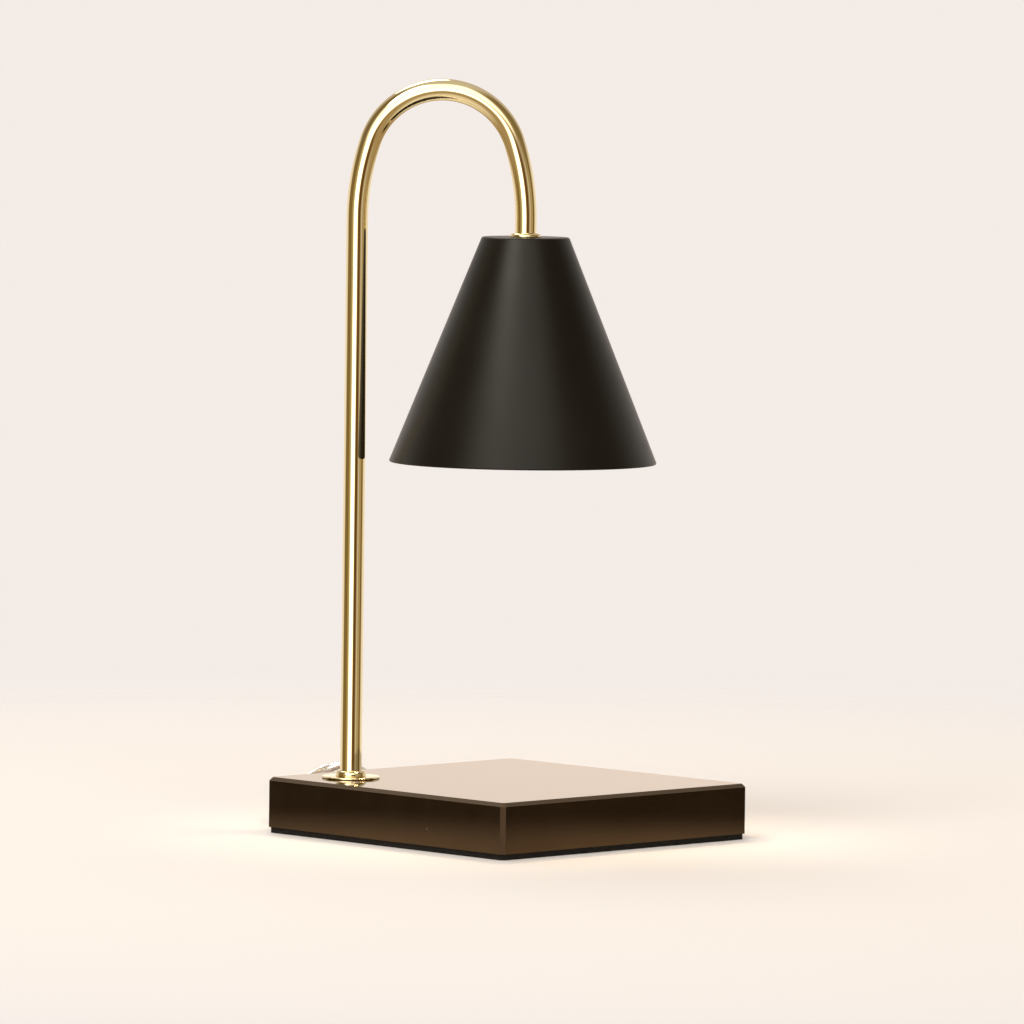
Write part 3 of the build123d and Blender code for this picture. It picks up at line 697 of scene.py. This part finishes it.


# %% [markdown]
# ### Stone
# The base is near-black stone, sawn, bevelled and polished until it mirrors the room. Up close it has a
# few pale crystals and soft brown clouds, and its sides keep faint upright grinding marks. The narrow bevels
# and cut corners are only honed, so they are rougher. The bevels' lighter grey is partly their honed tone
# and partly painted highlight, and the cut corners' bluish grey is a painted highlight. Masks from the
# position in the slab find them.

# %% Stone
STONE_CORNER = 106.066 * MM  # from the middle to a corner, before the corners are cut
BEVEL_WIDTH = 2.22 * MM  # of the top's bevels, along the diagonal
BEVEL_FOOT = 23.02 * MM  # height at which the top's bevels begin
CORNER_CUT = 1.25 * MM  # how far the corners are cut back
STONE_BLACK = (0.0025, 0.0018, 0.0012)
STONE_CLOUD = (0.009, 0.0065, 0.004)
CRYSTAL = (0.20, 0.16, 0.12)
GRINDING_MARK = (0.022, 0.015, 0.009)
# Painted highlight: the bevels' grey is partly honed tone and partly highlight, the corners' bluish grey is
# highlight.
BEVEL_GREY_AND_HIGHLIGHT = (0.034, 0.028, 0.021)
CORNER_PAINTED_HIGHLIGHT = (0.008, 0.008, 0.013)
HONED_ROUGHNESS = 0.46

stone = bpy.data.materials.new("polished_stone")
tree = new_tree(stone)
place = add(tree, "ShaderNodeTexCoord")
clouds = use_group(tree, mottle_group, Scale=35.0, Contrast=2.5, Stretch=1.0)
grinding = use_group(tree, mottle_group, Scale=700.0, Contrast=2.0, Stretch=0.03)
colour = blend_colours(tree, clouds.outputs["Mask"], STONE_BLACK, STONE_CLOUD)
crystals = add(tree, "ShaderNodeTexVoronoi", Vector=place.outputs["Object"], Scale=150.0)
speck = add(
    tree, "ShaderNodeMapRange",
    Value=crystals.outputs["Distance"], From_Min=0.03, From_Max=0.06, To_Min=1.0, To_Max=0.0,
)
chance = add(tree, "ShaderNodeSeparateColor", Color=crystals.outputs["Color"])
rare = math_node(tree, "GREATER_THAN", chance.outputs["Red"], 0.80)
specks = math_node(tree, "MULTIPLY", speck.outputs["Result"], rare)
colour = blend_colours(tree, specks, colour, CRYSTAL)
streaks = math_node(tree, "MULTIPLY", grinding.outputs["Mask"], 0.25)
colour = blend_colours(tree, streaks, colour, GRINDING_MARK)

where = add(tree, "ShaderNodeSeparateXYZ", Vector=place.outputs["Object"])
sides = [math_node(tree, "ABSOLUTE", where.outputs[axis]) for axis in ("X", "Y")]
edge_way = math_node(tree, "ADD", *sides)
near_edge = math_node(tree, "GREATER_THAN", edge_way, STONE_CORNER - BEVEL_WIDTH)
near_top = math_node(tree, "GREATER_THAN", where.outputs["Z"], BEVEL_FOOT)
bevel = math_node(tree, "MULTIPLY", near_edge, near_top)
corner_way = math_node(tree, "MAXIMUM", *sides)
corner = math_node(tree, "GREATER_THAN", corner_way, STONE_CORNER - CORNER_CUT)
honed = math_node(tree, "MAXIMUM", bevel, corner)
# Painted highlight on the bevels, mixed with their honed tone, and on the cut corners.
colour = blend_colours(tree, bevel, colour, BEVEL_GREY_AND_HIGHLIGHT)
colour = blend_colours(tree, corner, colour, CORNER_PAINTED_HIGHLIGHT)
polish = add(tree, "ShaderNodeMapRange", Value=grinding.outputs["Mask"], To_Min=0.03, To_Max=0.06)
rough = add(tree, "ShaderNodeMix", Factor=honed, A=polish.outputs["Result"], B=HONED_ROUGHNESS)
# The orange specular tint is a painted reflection: it paints the lamp's warm light into everything the stone
# mirrors.
shader = add(
    tree, "ShaderNodeBsdfPrincipled",
    Base_Color=colour, Roughness=rough.outputs["Result"], IOR=1.62, Specular_Tint=(1.0, 0.55, 0.18, 1),
)
add(tree, "ShaderNodeOutputMaterial", Surface=shader.outputs["BSDF"])
dress(stone, "stone_base")
print("stone nodes", len(tree.nodes))

# %% [markdown]
# ### Foam pad
# A thin sheet of black foam rubber under the stone, with open cells at its cut edge.

# %% Foam pad
foam = finish(
    "foam_rubber", ((0.006, 0.005, 0.004), (0.019, 0.016, 0.012)), (0.85, 0.98),
    patch=900.0, smear=200.0, grain=1400.0, relief=0.9, depth=0.4, pebble=0.8, Specular_IOR_Level=0.2,
)
dress(foam, "foot_pad")
print("pad", foam.name)

# %% [markdown]
# ### Metals
# The tube, flange and collars are polished brass under thin lacquer. Inside are zinc-plated steel parts, and
# brass contacts and blades with a duller finish.

# %% Metals
polished_brass = finish(
    "polished_brass", ((0.90, 0.76, 0.46), (0.87, 0.71, 0.40)), (0.045, 0.085),
    patch=30.0, smear=45.0, grain=300.0, relief=0.003, depth=0.02, pebble=0.0,
    stretch=0.25, Metallic=1.0, Coat_Weight=0.3, Coat_Roughness=0.03,
)
zinc = finish(
    "zinc_plate", ((0.60, 0.61, 0.62), (0.50, 0.51, 0.54)), (0.22, 0.38),
    patch=260.0, smear=140.0, grain=1500.0, relief=0.06, depth=0.05, Metallic=1.0,
)
bright_brass = finish(
    "bright_brass", ((0.78, 0.60, 0.30), (0.66, 0.48, 0.22)), (0.16, 0.30),
    patch=300.0, smear=150.0, grain=1300.0, relief=0.04, depth=0.04, Metallic=1.0,
)
copper_strand = finish(
    "copper_strand", ((0.80, 0.42, 0.26), (0.68, 0.33, 0.19)), (0.25, 0.40),
    patch=500.0, smear=300.0, grain=2600.0, relief=0.5, depth=0.15, Metallic=1.0,
)
tinned_strand = finish(
    "tinned_strand", ((0.74, 0.73, 0.70), (0.60, 0.59, 0.57)), (0.25, 0.40),
    patch=500.0, smear=300.0, grain=2600.0, relief=0.5, depth=0.15, Metallic=1.0,
)
dress(zinc, "base_washer", "lock_nuts", "holder_bracket", "holder_screws", "dimmer_screws")
dress(bright_brass, "lampholder_contacts", "bulb_pins", "plug_blade_wide", "plug_blade_narrow")
dress(copper_strand, lamp_cores[0], mains_cores[0])
dress(tinned_strand, lamp_cores[1], mains_cores[1])
print("metals", [metal.name for metal in (polished_brass, zinc, bright_brass, copper_strand, tinned_strand)])

# %% [markdown]
# ### Clear vinyl
# The cord, its strain relief, the dimmer's sleeves and the plug are soft clear vinyl, which is slightly
# milky. Light passes through it, so it is mostly transmission with a rough edge and a shiny skin.

# %% Clear vinyl
clear_vinyl = finish(
    "clear_vinyl", ((0.51, 0.47, 0.41), (0.45, 0.41, 0.36)), (0.18, 0.27),
    patch=45.0, smear=35.0, grain=700.0, relief=0.03, depth=0.05,
    Transmission_Weight=0.5, IOR=1.45,
)
dress(clear_vinyl, lamp_cord, mains_cord, "cord_strain_relief", "dimmer_sleeves", "plug_body")
print("vinyl", clear_vinyl.name)

# %% [markdown]
# ### Plastics, wires, board and ceramic
# Small parts each get a finish of their own: insulated wire, the dimmer's white case and its grey wheel,
# the control's blue body, the green board, and the holder's fine unglazed ceramic. A thin dark line at the
# height where the case's halves meet is painted shade, standing in for the shadow in their seam.

# %% Small finishes
black_wire = finish("black_wire", ((0.012, 0.012, 0.012), (0.024, 0.024, 0.024)), (0.38, 0.52), relief=0.05)
white_wire = finish("white_wire", ((0.78, 0.78, 0.75), (0.70, 0.69, 0.66)), (0.38, 0.52), relief=0.05)
white_case = finish(
    "white_case", ((0.62, 0.615, 0.60), (0.58, 0.575, 0.56)), (0.28, 0.40),
    patch=50.0, smear=60.0, grain=1600.0, relief=0.10, depth=0.05, pebble=0.7,
)
SEAM_HEIGHT = 6.5 * MM
SEAM_HALF_WIDTH = 0.14 * MM
# Painted shade: a dark line where the case's halves meet, as if shade fell into a groove there.
SEAM_SHADE = (0.12, 0.115, 0.11)
tree = white_case.node_tree
shader = tree.nodes["Principled BSDF"]
place = add(tree, "ShaderNodeTexCoord")
above_floor = add(tree, "ShaderNodeSeparateXYZ", Vector=place.outputs["Object"]).outputs["Z"]
seam = add(tree, "ShaderNodeMath", i0=above_floor, i1=SEAM_HEIGHT, i2=SEAM_HALF_WIDTH)
seam.operation = "COMPARE"
case_colour = shader.inputs["Base Color"].links[0].from_socket
colour_with_seam_shade = blend_colours(tree, seam.outputs[0], case_colour, SEAM_SHADE)
tree.links.new(colour_with_seam_shade, shader.inputs["Base Color"])

grey_wheel = finish(
    "grey_wheel", ((0.52, 0.52, 0.51), (0.46, 0.46, 0.45)), (0.45, 0.60),
    grain=1500.0, relief=0.12, depth=0.05,
)
control_blue = finish("control_blue", ((0.02, 0.05, 0.20), (0.03, 0.07, 0.26)), (0.30, 0.45), relief=0.05)
board_green = finish(
    "board_green", ((0.01, 0.12, 0.04), (0.02, 0.18, 0.07)), (0.25, 0.45),
    patch=220.0, grain=1200.0, relief=0.05,
)
ceramic = finish(
    "holder_ceramic", ((0.82, 0.80, 0.75), (0.74, 0.71, 0.66)), (0.55, 0.75),
    patch=120.0, smear=90.0, grain=1200.0, relief=0.25, depth=0.08,
)
dress(black_wire, "live_lead")
dress(white_wire, "neutral_lead", "dimmer_leads")
dress(white_case, "dimmer_lower_shell", "dimmer_upper_shell")
dress(grey_wheel, "dimmer_wheel", "dimmer_shaft")
dress(control_blue, "dimmer_pot")
dress(board_green, "dimmer_board")
dress(ceramic, "lampholder_body", "bulb_base")
print("materials", len(bpy.data.materials))

# %% [markdown]
# ### Lamp glass
# The reflector's bowl is mirrored, the front disc is clear, and the capsule glows warm because the lamp is
# lit.

# %% Lamp glass
mirror = finish(
    "mirror_coat", ((0.90, 0.87, 0.82), (0.86, 0.83, 0.78)), (0.05, 0.12), relief=0.02, Metallic=1.0,
)
lens_glass = finish(
    "lens_glass", ((0.98, 0.97, 0.95), (0.96, 0.95, 0.92)), (0.02, 0.06), relief=0.02,
    Transmission_Weight=1.0, IOR=1.47,
)
glow = finish(
    "lit_capsule", ((1.0, 0.88, 0.70), (1.0, 0.82, 0.60)), (0.3, 0.4), relief=0.02,
    Emission_Color=(1.0, 0.74, 0.45, 1), Emission_Strength=12.0,
)
dress(lens_glass, "bulb_lens")
dress(glow, "bulb_capsule")
print("lamp glass", [glass.name for glass in (mirror, lens_glass, glow)])

# %% [markdown]
# ### Shade paint
# The shade is spun steel with a satin black powder coat. The coat has a very fine pebble, so its highlight
# is broad and soft. A warm specular tint and a warm cast in its near-black colour paint warm lamp light into
# the coat, so it looks faintly brown.

# %% Shade paint
satin_black = finish(
    "satin_black", ((0.0040, 0.0030, 0.0020), (0.0055, 0.0042, 0.0028)), (0.36, 0.42),
    patch=18.0, smear=30.0, grain=2200.0, relief=0.08, depth=0.05, pebble=0.6,
    # The warm specular tint is painted warm light in the highlight.
    Specular_IOR_Level=0.27, Specular_Tint=(1.0, 0.94, 0.84, 1),
)
print("paint", satin_black.name)

# %% [markdown]
# ## The gooseneck
# Real tube like this is bent round formers, so it is straight, then a gentle bend, then the tight crown,
# and the same back down. A ring of points is extruded up the leg and spun about each bend's centre in turn.
# The polished surface shows every facet, so this copy is finer than the solid it replaces.

# %% Gooseneck
TUBE_RADIUS = 4.8
POLE_X = -69.0
SHADE_X = 5.0
TUBE_BOTTOM = 7.5
TUBE_END = 256.3
ARCH_FOOT = 271.3
SHOULDER_RADIUS = 110.0
SHOULDER_STEPS = 12
CROWN_RADIUS = 33.3
CROWN_STEPS = 72
TUBE_WALL = 1.0
TUBE_SEGMENTS = 64
END_LOOP = 0.4  # a close loop at each end keeps the shading of the long walls straight
HALF_SPAN = (SHADE_X - POLE_X) / 2
CROWN_ANGLE = math.asin((SHOULDER_RADIUS - HALF_SPAN) / (SHOULDER_RADIUS - CROWN_RADIUS))
SHOULDER_ANGLE = math.pi / 2 - CROWN_ANGLE
CROWN_HEIGHT = ARCH_FOOT + (SHOULDER_RADIUS - CROWN_RADIUS) * math.cos(CROWN_ANGLE)


def edges_between(bm, verts):
    return [edge for edge in bm.edges if edge.verts[0] in verts and edge.verts[1] in verts]


def bend(bm, ring, centre_x, centre_z, angle, steps):
    """Spins a ring about a bend's centre and gives back the ring at the bend's end."""
    made = bmesh.ops.spin(
        bm, geom=ring, cent=(centre_x * MM, 0, centre_z * MM), axis=(0, 1, 0), angle=angle, steps=steps
    )["geom_last"]
    return [part for part in made if isinstance(part, (bmesh.types.BMVert, bmesh.types.BMEdge))]


def extend(bm, ring, rise):
    """Extrudes a ring straight up or down and gives back the ring at the new end."""
    edges = [part for part in ring if isinstance(part, bmesh.types.BMEdge)]
    made = bmesh.ops.extrude_edge_only(bm, edges=edges)["geom"]
    moved = [part for part in made if isinstance(part, bmesh.types.BMVert)]
    bmesh.ops.translate(bm, vec=(0, 0, rise * MM), verts=moved)
    return moved + edges_between(bm, set(moved))


bm = bmesh.new()
foot = Matrix.Translation((POLE_X * MM, 0, TUBE_BOTTOM * MM))
bmesh.ops.create_circle(bm, cap_ends=False, segments=TUBE_SEGMENTS, radius=TUBE_RADIUS * MM, matrix=foot)
ring = bm.verts[:] + bm.edges[:]
ring = extend(bm, ring, END_LOOP)
ring = extend(bm, ring, ARCH_FOOT - TUBE_BOTTOM - END_LOOP)
ring = bend(bm, ring, POLE_X + SHOULDER_RADIUS, ARCH_FOOT, SHOULDER_ANGLE, SHOULDER_STEPS)
ring = bend(bm, ring, (POLE_X + SHADE_X) / 2, CROWN_HEIGHT, 2 * CROWN_ANGLE, CROWN_STEPS)
ring = bend(bm, ring, SHADE_X - SHOULDER_RADIUS, ARCH_FOOT, SHOULDER_ANGLE, SHOULDER_STEPS)
ring = extend(bm, ring, TUBE_END - ARCH_FOOT + END_LOOP)
extend(bm, ring, -END_LOOP)
bmesh.ops.recalc_face_normals(bm, faces=bm.faces)
gooseneck = finish_piece("gooseneck_polished", bm)
wall = gooseneck.modifiers.new("wall", "SOLIDIFY")
wall.thickness = TUBE_WALL * MM
wall.offset = -1.0
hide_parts("gooseneck_tube")
dress(polished_brass, gooseneck)
print("gooseneck faces", len(gooseneck.data.polygons))

# %% [markdown]
# ## Flange, collar and ferrule
# Turned brass pieces: a thin plate on the stone, a small domed collar on it, and a domed ferrule on the
# shade. Each is an outline with rounded corners, spun once round.

# %% Turned brass
BORE = 4.81
STONE_TOP = 24.6
FLANGE_RADIUS = 12.8
FLANGE_THICKNESS = 0.9
FLANGE_ROUND = 0.3
COLLAR_RADIUS = 6.75
COLLAR_HEIGHT = 2.6
COLLAR_EDGE = 0.9
FERRULE_RADIUS = 6.85
FERRULE_HEIGHT = 1.8
FERRULE_EDGE = 0.4
DOME_FOOT_ROUND = 0.2
DOME_POINTS = 12
SHADE_TOP = 264.0


def plate(radius, low, height, rounding):
    """An outline of a flat ring on the tube with both its outer edges rounded."""
    outline = [(BORE, low)]
    outline += arc_points(radius - rounding, low + rounding, rounding, -90, 0, 5)
    outline += arc_points(radius - rounding, low + height - rounding, rounding, 0, 90, 5)
    outline.append((BORE, low + height))
    return outline


def dome(radius, low, height, edge):
    """An outline of a domed ring: a short upright edge, and a quarter ellipse that ends at the tube."""
    outline = [(BORE, low)]
    foot = DOME_FOOT_ROUND
    outline += arc_points(radius - foot, low + foot, foot, -90, 0, 4)
    for i in range(DOME_POINTS + 1):
        angle = math.radians(90 * i / DOME_POINTS)
        across = BORE + (radius - BORE) * math.cos(angle)
        outline.append((across, low + edge + (height - edge) * math.sin(angle)))
    return outline


turned_brass = []
flange_outline = plate(FLANGE_RADIUS, STONE_TOP, FLANGE_THICKNESS, FLANGE_ROUND)
collar_outline = dome(COLLAR_RADIUS, STONE_TOP + FLANGE_THICKNESS, COLLAR_HEIGHT, COLLAR_EDGE)
ferrule_outline = dome(FERRULE_RADIUS, SHADE_TOP, FERRULE_HEIGHT, FERRULE_EDGE)
for name, outline, x in (
    ("flange_polished", flange_outline, POLE_X),
    ("collar_polished", collar_outline, POLE_X),
    ("ferrule_polished", ferrule_outline, SHADE_X),
):
    piece = finish_piece(name, turned_bmesh(outline, x, steps=96), sharp=50.0)
    turned_brass.append(piece)
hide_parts("base_flange")
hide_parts("pole_collar")
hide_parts("shade_ferrule")
dress(polished_brass, *turned_brass)
print("turned brass", [piece.name for piece in turned_brass])

# %% [markdown]
# ## The shade
# The cone is spun from sheet. Its top corner is rounded where the sheet was pressed over, and its lower
# edge is turned to a small smooth lip, which catches a thin line of warm light from below.

# %% Shade
SHADE_RIM = 164.8
SHADE_TOP_RADIUS = 19.2
SHADE_RIM_RADIUS = 59.0
SHADE_WALL = 1.0
LEAN = math.atan2(SHADE_RIM_RADIUS - SHADE_TOP_RADIUS, SHADE_TOP - SHADE_RIM)
SKIN = SHADE_WALL / math.cos(LEAN)
TOP_ROUND = 1.3


def shade_outline():
    lean = math.degrees(LEAN)
    reach = TOP_ROUND * math.tan((math.pi / 2 - LEAN) / 2)
    outline = [(BORE, SHADE_TOP)]
    outline += arc_points(SHADE_TOP_RADIUS - reach, SHADE_TOP - TOP_ROUND, TOP_ROUND, 90, lean, 8)
    lip = SHADE_WALL / 2
    lip_r = SHADE_RIM_RADIUS - SKIN / 2 - lip * math.tan(LEAN)
    outline += arc_points(lip_r, SHADE_RIM + lip, lip, lean, lean - 180, 8)
    under = SHADE_TOP - SHADE_WALL
    outline.append((SHADE_TOP_RADIUS + SHADE_WALL * math.tan(LEAN) - SKIN, under))
    outline.append((BORE, under))
    return outline


cone = turned_bmesh(shade_outline(), SHADE_X, steps=192)
shade = finish_piece("shade_painted", cone, sharp=40.0)
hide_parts("shade")
dress(satin_black, shade)
print("shade faces", len(shade.data.polygons))

# %% [markdown]
# ## The reflector
# The lamp's bowl has two skins: a smooth glass back and a mirrored front made of flat facets, which spread
# the light evenly. Both are spun from arcs, the front in few steps so that its facets stay flat.

# %% Reflector
BOWL_TOP = 214.7
BOWL_LIP = 182.7
BOWL_FRONT = 179.7
BOWL_MIDDLE = (BOWL_TOP + BOWL_LIP) / 2
BOWL_NECK = 9.5
BOWL_BULGE = 19.5
BOWL_RIM = 25.0
BOWL_WALL = 1.4
BOWL_INSIDE = BOWL_RIM - BOWL_WALL
BOWL_EDGE = 0.2
SKIN_POINTS = 16
BURNER_HOLE = 4.42
FACETS_AROUND = 20
FACET_RINGS = 9
# Radius and height of three points on the surface inside the wall where the two skins lie back to back.
CORE_NECK = (5.6, BOWL_TOP - 0.6)
CORE_BULGE = (18.7, BOWL_MIDDLE + 0.4)
CORE_RIM = (BOWL_RIM - 0.7, BOWL_LIP)
# The mirrored skin's own bulge, and the two points where it turns back to that surface.
FRONT_BULGE = (BOWL_BULGE - BOWL_WALL, BOWL_MIDDLE + 0.7)
FRONT_RIM = (BOWL_INSIDE + 0.6, BOWL_LIP)
FRONT_NECK = (BURNER_HOLE, BOWL_TOP - 0.7)


def bowl_arc(start, middle, end, count):
    """Points of the arc through three points of radius and height."""
    ax, az = start
    bx, bz = middle
    cx, cz = end
    d = 2 * (ax * (bz - cz) + bx * (cz - az) + cx * (az - bz))
    squares = [x * x + z * z for x, z in (start, middle, end)]
    centre_x = (squares[0] * (bz - cz) + squares[1] * (cz - az) + squares[2] * (az - bz)) / d
    centre_z = (squares[0] * (cx - bx) + squares[1] * (ax - cx) + squares[2] * (bx - ax)) / d
    first = math.degrees(math.atan2(az - centre_z, ax - centre_x))
    last = math.degrees(math.atan2(cz - centre_z, cx - centre_x))
    return arc_points(centre_x, centre_z, math.hypot(ax - centre_x, az - centre_z), first, last, count)


back_arc = bowl_arc((BOWL_NECK, BOWL_TOP), (BOWL_BULGE, BOWL_MIDDLE), (BOWL_RIM, BOWL_LIP), SKIN_POINTS)
core_arc = bowl_arc(CORE_NECK, CORE_BULGE, CORE_RIM, SKIN_POINTS)
front_arc = bowl_arc((BOWL_INSIDE, BOWL_LIP), FRONT_BULGE, (BURNER_HOLE, BOWL_TOP - BOWL_WALL), FACET_RINGS)
back = back_arc + [(BOWL_RIM, BOWL_FRONT + BOWL_EDGE), (BOWL_RIM - BOWL_EDGE, BOWL_FRONT)]
back += [(BOWL_INSIDE, BOWL_FRONT), (BOWL_INSIDE, BOWL_LIP)] + core_arc[::-1][1:]
front = [FRONT_RIM] + front_arc + [FRONT_NECK] + core_arc[1:-1]
back_skin = turned_bmesh(back, SHADE_X, steps=96)
bowl_back = finish_piece("bowl_back", back_skin, body="bulb", sharp=40.0)
front_skin = turned_bmesh(front, SHADE_X, steps=FACETS_AROUND)
bowl_front = finish_piece("bowl_facets", front_skin, body="bulb", sharp=4.0)
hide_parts("bulb_reflector")
dress(mirror, bowl_back, bowl_front)
print("bowl faces", len(bowl_back.data.polygons), len(bowl_front.data.polygons))

# %% [markdown]
# ## Skins through sections
# The plug and the coil's tie are each one skin drawn through rounded rectangles along an axis. `skin`
# extrudes an end face again and again and puts its corners where the next section wants them.

# %% Helpers for skins
CORNER_POINTS = 9


def rounded_section(along, half_width, half_height, corner):
    """Points of a rounded rectangle across the local X axis, in millimetres."""
    points = []
    for quarter, (way_y, way_z) in enumerate(((1, 1), (-1, 1), (-1, -1), (1, -1))):
        centre_y = way_y * (half_width - corner)
        centre_z = way_z * (half_height - corner)
        for i in range(CORNER_POINTS):
            angle = math.radians(90 * (quarter + i / (CORNER_POINTS - 1)))
            points.append((along, centre_y + corner * math.cos(angle), centre_z + corner * math.sin(angle)))
    return points


def skin(sections):
    """A closed skin through sections of equally many points, in millimetres."""
    bm = bmesh.new()
    bmesh.ops.create_circle(bm, cap_ends=True, segments=len(sections[0]), radius=MM)
    face = bm.faces[:][0]
    for i, section in enumerate(sections):
        if i:
            made = bmesh.ops.extrude_face_region(bm, geom=[face])["geom"]
            face = [part for part in made if isinstance(part, bmesh.types.BMFace)][0]
        for vert, point in zip(face.verts, section):
            vert.co = Vector(point) * MM
    bmesh.ops.recalc_face_normals(bm, faces=bm.faces)
    return bm


# %% [markdown]
# ## The plug
# The moulded plug's neck has three flexible ribs and widens in a smooth curve. Its block has finger grooves
# in the sides and a soft front edge. A section is given by its place along the plug, its half width, its
# half height and the radius of its corners, all in millimetres.

# %% Plug
PLUG_HEADING = math.radians(197.6)
NECK_SECTIONS = ((0.0, 3.5, 2.6, 1.9), (0.3, 4.1, 3.2, 2.2))
RIB_STARTS = (1.0, 2.9, 4.8)
RIB = (4.3, 3.4, 2.3)
RIB_GAP = (3.6, 2.8, 2.0)
RIB_STEPS = ((0.0, RIB), (0.5, RIB), (0.8, RIB_GAP), (1.3, RIB_GAP))
SHOULDER = (4.6, 3.6, 2.4)
BLOCK = (12.0, 6.7, 4.8)
SWELL_START = 6.6
SWELL_LENGTH = 6.6
SWELL_STEPS = 12
GROOVES = (15.2, 18.0, 20.8, 23.6)
GROOVE_DEPTHS = ((-0.9, 0.0), (-0.5, 0.35), (0.0, 0.5), (0.5, 0.35), (0.9, 0.0))
FRONT_ROUND = 1.2
FRONT_START = 28.8
FRONT_STEPS = 5


def plug_sections():
    sections = [rounded_section(*section) for section in NECK_SECTIONS]
    for rib in RIB_STARTS:
        sections += [rounded_section(rib + offset, *size) for offset, size in RIB_STEPS]
    for i in range(SWELL_STEPS + 1):
        step = i / SWELL_STEPS
        swell = step * step * (3 - 2 * step)
        size = [small + (large - small) * swell for small, large in zip(SHOULDER, BLOCK)]
        sections.append(rounded_section(SWELL_START + SWELL_LENGTH * step, *size))
    half_width, half_height, corner = BLOCK
    for groove in GROOVES:
        for offset, depth in GROOVE_DEPTHS:
            sections.append(rounded_section(groove + offset, half_width - depth, half_height, corner))
    for i in range(FRONT_STEPS + 1):
        angle = math.radians(90 / FRONT_STEPS * i)
        inset = FRONT_ROUND * (1 - math.cos(angle))
        along = FRONT_START + FRONT_ROUND * math.sin(angle)
        sections.append(rounded_section(along, *[value - inset for value in BLOCK]))
    return sections


bm = skin(plug_sections())
plug_back = Matrix.Translation([value * MM for value in PLUG_ROUTE[-1]])
bmesh.ops.transform(bm, matrix=plug_back @ Matrix.Rotation(PLUG_HEADING, 4, "Z"), verts=bm.verts)
plug = finish_piece("plug_moulded", bm, sharp=50.0)
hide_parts("plug_body")
dress(clear_vinyl, plug)
print("plug faces", len(plug.data.polygons))

# %% [markdown]
# ## The coil's tie
# A black twist tie holds the coil together. It is a flat strip with a wire along its middle, closed round
# all the turns. The band is a skin through loops round the turns, a little wider where the wire lies.

# %% Band of the tie
TIE_WIDTHS = ((-2.0, 0.0), (-0.7, 0.0), (-0.35, 0.22), (0.35, 0.22), (0.7, 0.0), (2.0, 0.0))
TIE_THICKNESS = 0.45
TIE_INSIDE = 21.4
TIE_OUTSIDE = 31.3
TIE_TOP = 11.15
TIE_CORNER = 2.4


def tie_loop(y, swell):
    """The tie's outline round the coil's turns, across the tie at y."""
    middle = (TIE_INSIDE + TIE_OUTSIDE) / 2
    section = rounded_section(y, (TIE_OUTSIDE - TIE_INSIDE) / 2 + swell, TIE_TOP / 2, TIE_CORNER)
    return [(-middle + across, along, TIE_TOP / 2 + up) for along, across, up in section]


bm = skin([tie_loop(y, swell) for y, swell in TIE_WIDTHS])
caps = [face for face in bm.faces if len(face.verts) > 4]
bmesh.ops.delete(bm, geom=caps, context="FACES_ONLY")
bmesh.ops.translate(bm, vec=(COIL_CENTRE[0] * MM, COIL_CENTRE[1] * MM, 0), verts=bm.verts)
tie_band = finish_piece("coil_tie_band", bm)
print("tie band faces", len(tie_band.data.polygons))

# %% [markdown]
# The tie's two ends are twisted about each other. Two short strips side by side are extruded step by step,
# each step a little further and a little turned. They start just inside the band's upper outer corner.

# %% Twisted ends of the tie
TWIST_STEPS = 36
TWIST_LENGTH = 10.0
TWIST_TURNS = 2.0
TWIST_RISE = math.radians(35)
TWIST_INSET = 0.6
TWIST_DROP = 0.9
STRIP_HALF_WIDTH = 1.7
STRIP_OFFSET = 0.25  # of each strip from the line about which they twist

bm = bmesh.new()
ends = [
    [bm.verts.new((0, way * STRIP_HALF_WIDTH * MM, STRIP_OFFSET * MM * side)) for way in (-1, 0, 1)]
    for side in (-1, 1)
]
edges = [bm.edges.new(pair) for strip in ends for pair in zip(strip, strip[1:])]
advance = Matrix.Translation((TWIST_LENGTH * MM / TWIST_STEPS, 0, 0))
advance = Matrix.Rotation(math.tau * TWIST_TURNS / TWIST_STEPS, 4, "X") @ advance
for i in range(TWIST_STEPS):
    made = bmesh.ops.extrude_edge_only(bm, edges=edges)["geom"]
    verts = [part for part in made if isinstance(part, bmesh.types.BMVert)]
    edges = edges_between(bm, set(verts))
    bmesh.ops.transform(bm, matrix=advance, verts=verts)
bmesh.ops.recalc_face_normals(bm, faces=bm.faces)
start = Vector((
    (COIL_CENTRE[0] - TIE_OUTSIDE + TWIST_INSET) * MM,
    COIL_CENTRE[1] * MM,
    (TIE_TOP - TWIST_DROP) * MM,
))
lean = Matrix.Rotation(math.pi, 4, "Z") @ Matrix.Rotation(-TWIST_RISE, 4, "Y")
bmesh.ops.transform(bm, matrix=Matrix.Translation(start) @ lean, verts=bm.verts)
tie_twist = finish_piece("coil_tie_twist", bm)
for piece in (tie_band, tie_twist):
    sheet = piece.modifiers.new("thickness", "SOLIDIFY")
    sheet.thickness = TIE_THICKNESS * MM
    sheet.offset = -1.0 if piece is tie_band else 0.0
tie_plastic = finish(
    "tie_plastic", ((0.010, 0.010, 0.010), (0.022, 0.022, 0.022)), (0.40, 0.55), patch=300.0, relief=0.05,
)
dress(tie_plastic, tie_band, tie_twist)
print("tie twist faces", len(tie_twist.data.polygons))

# %% [markdown]
# ## The long cord's pieces
# The plug ends the long cord, and the tie holds its coil.

# %% [markdown]
# ## Finish
# The scene is brought up to date once more. The dressed lamp has to stay inside the solids' box.

# %% Finish
bpy.context.view_layer.update()
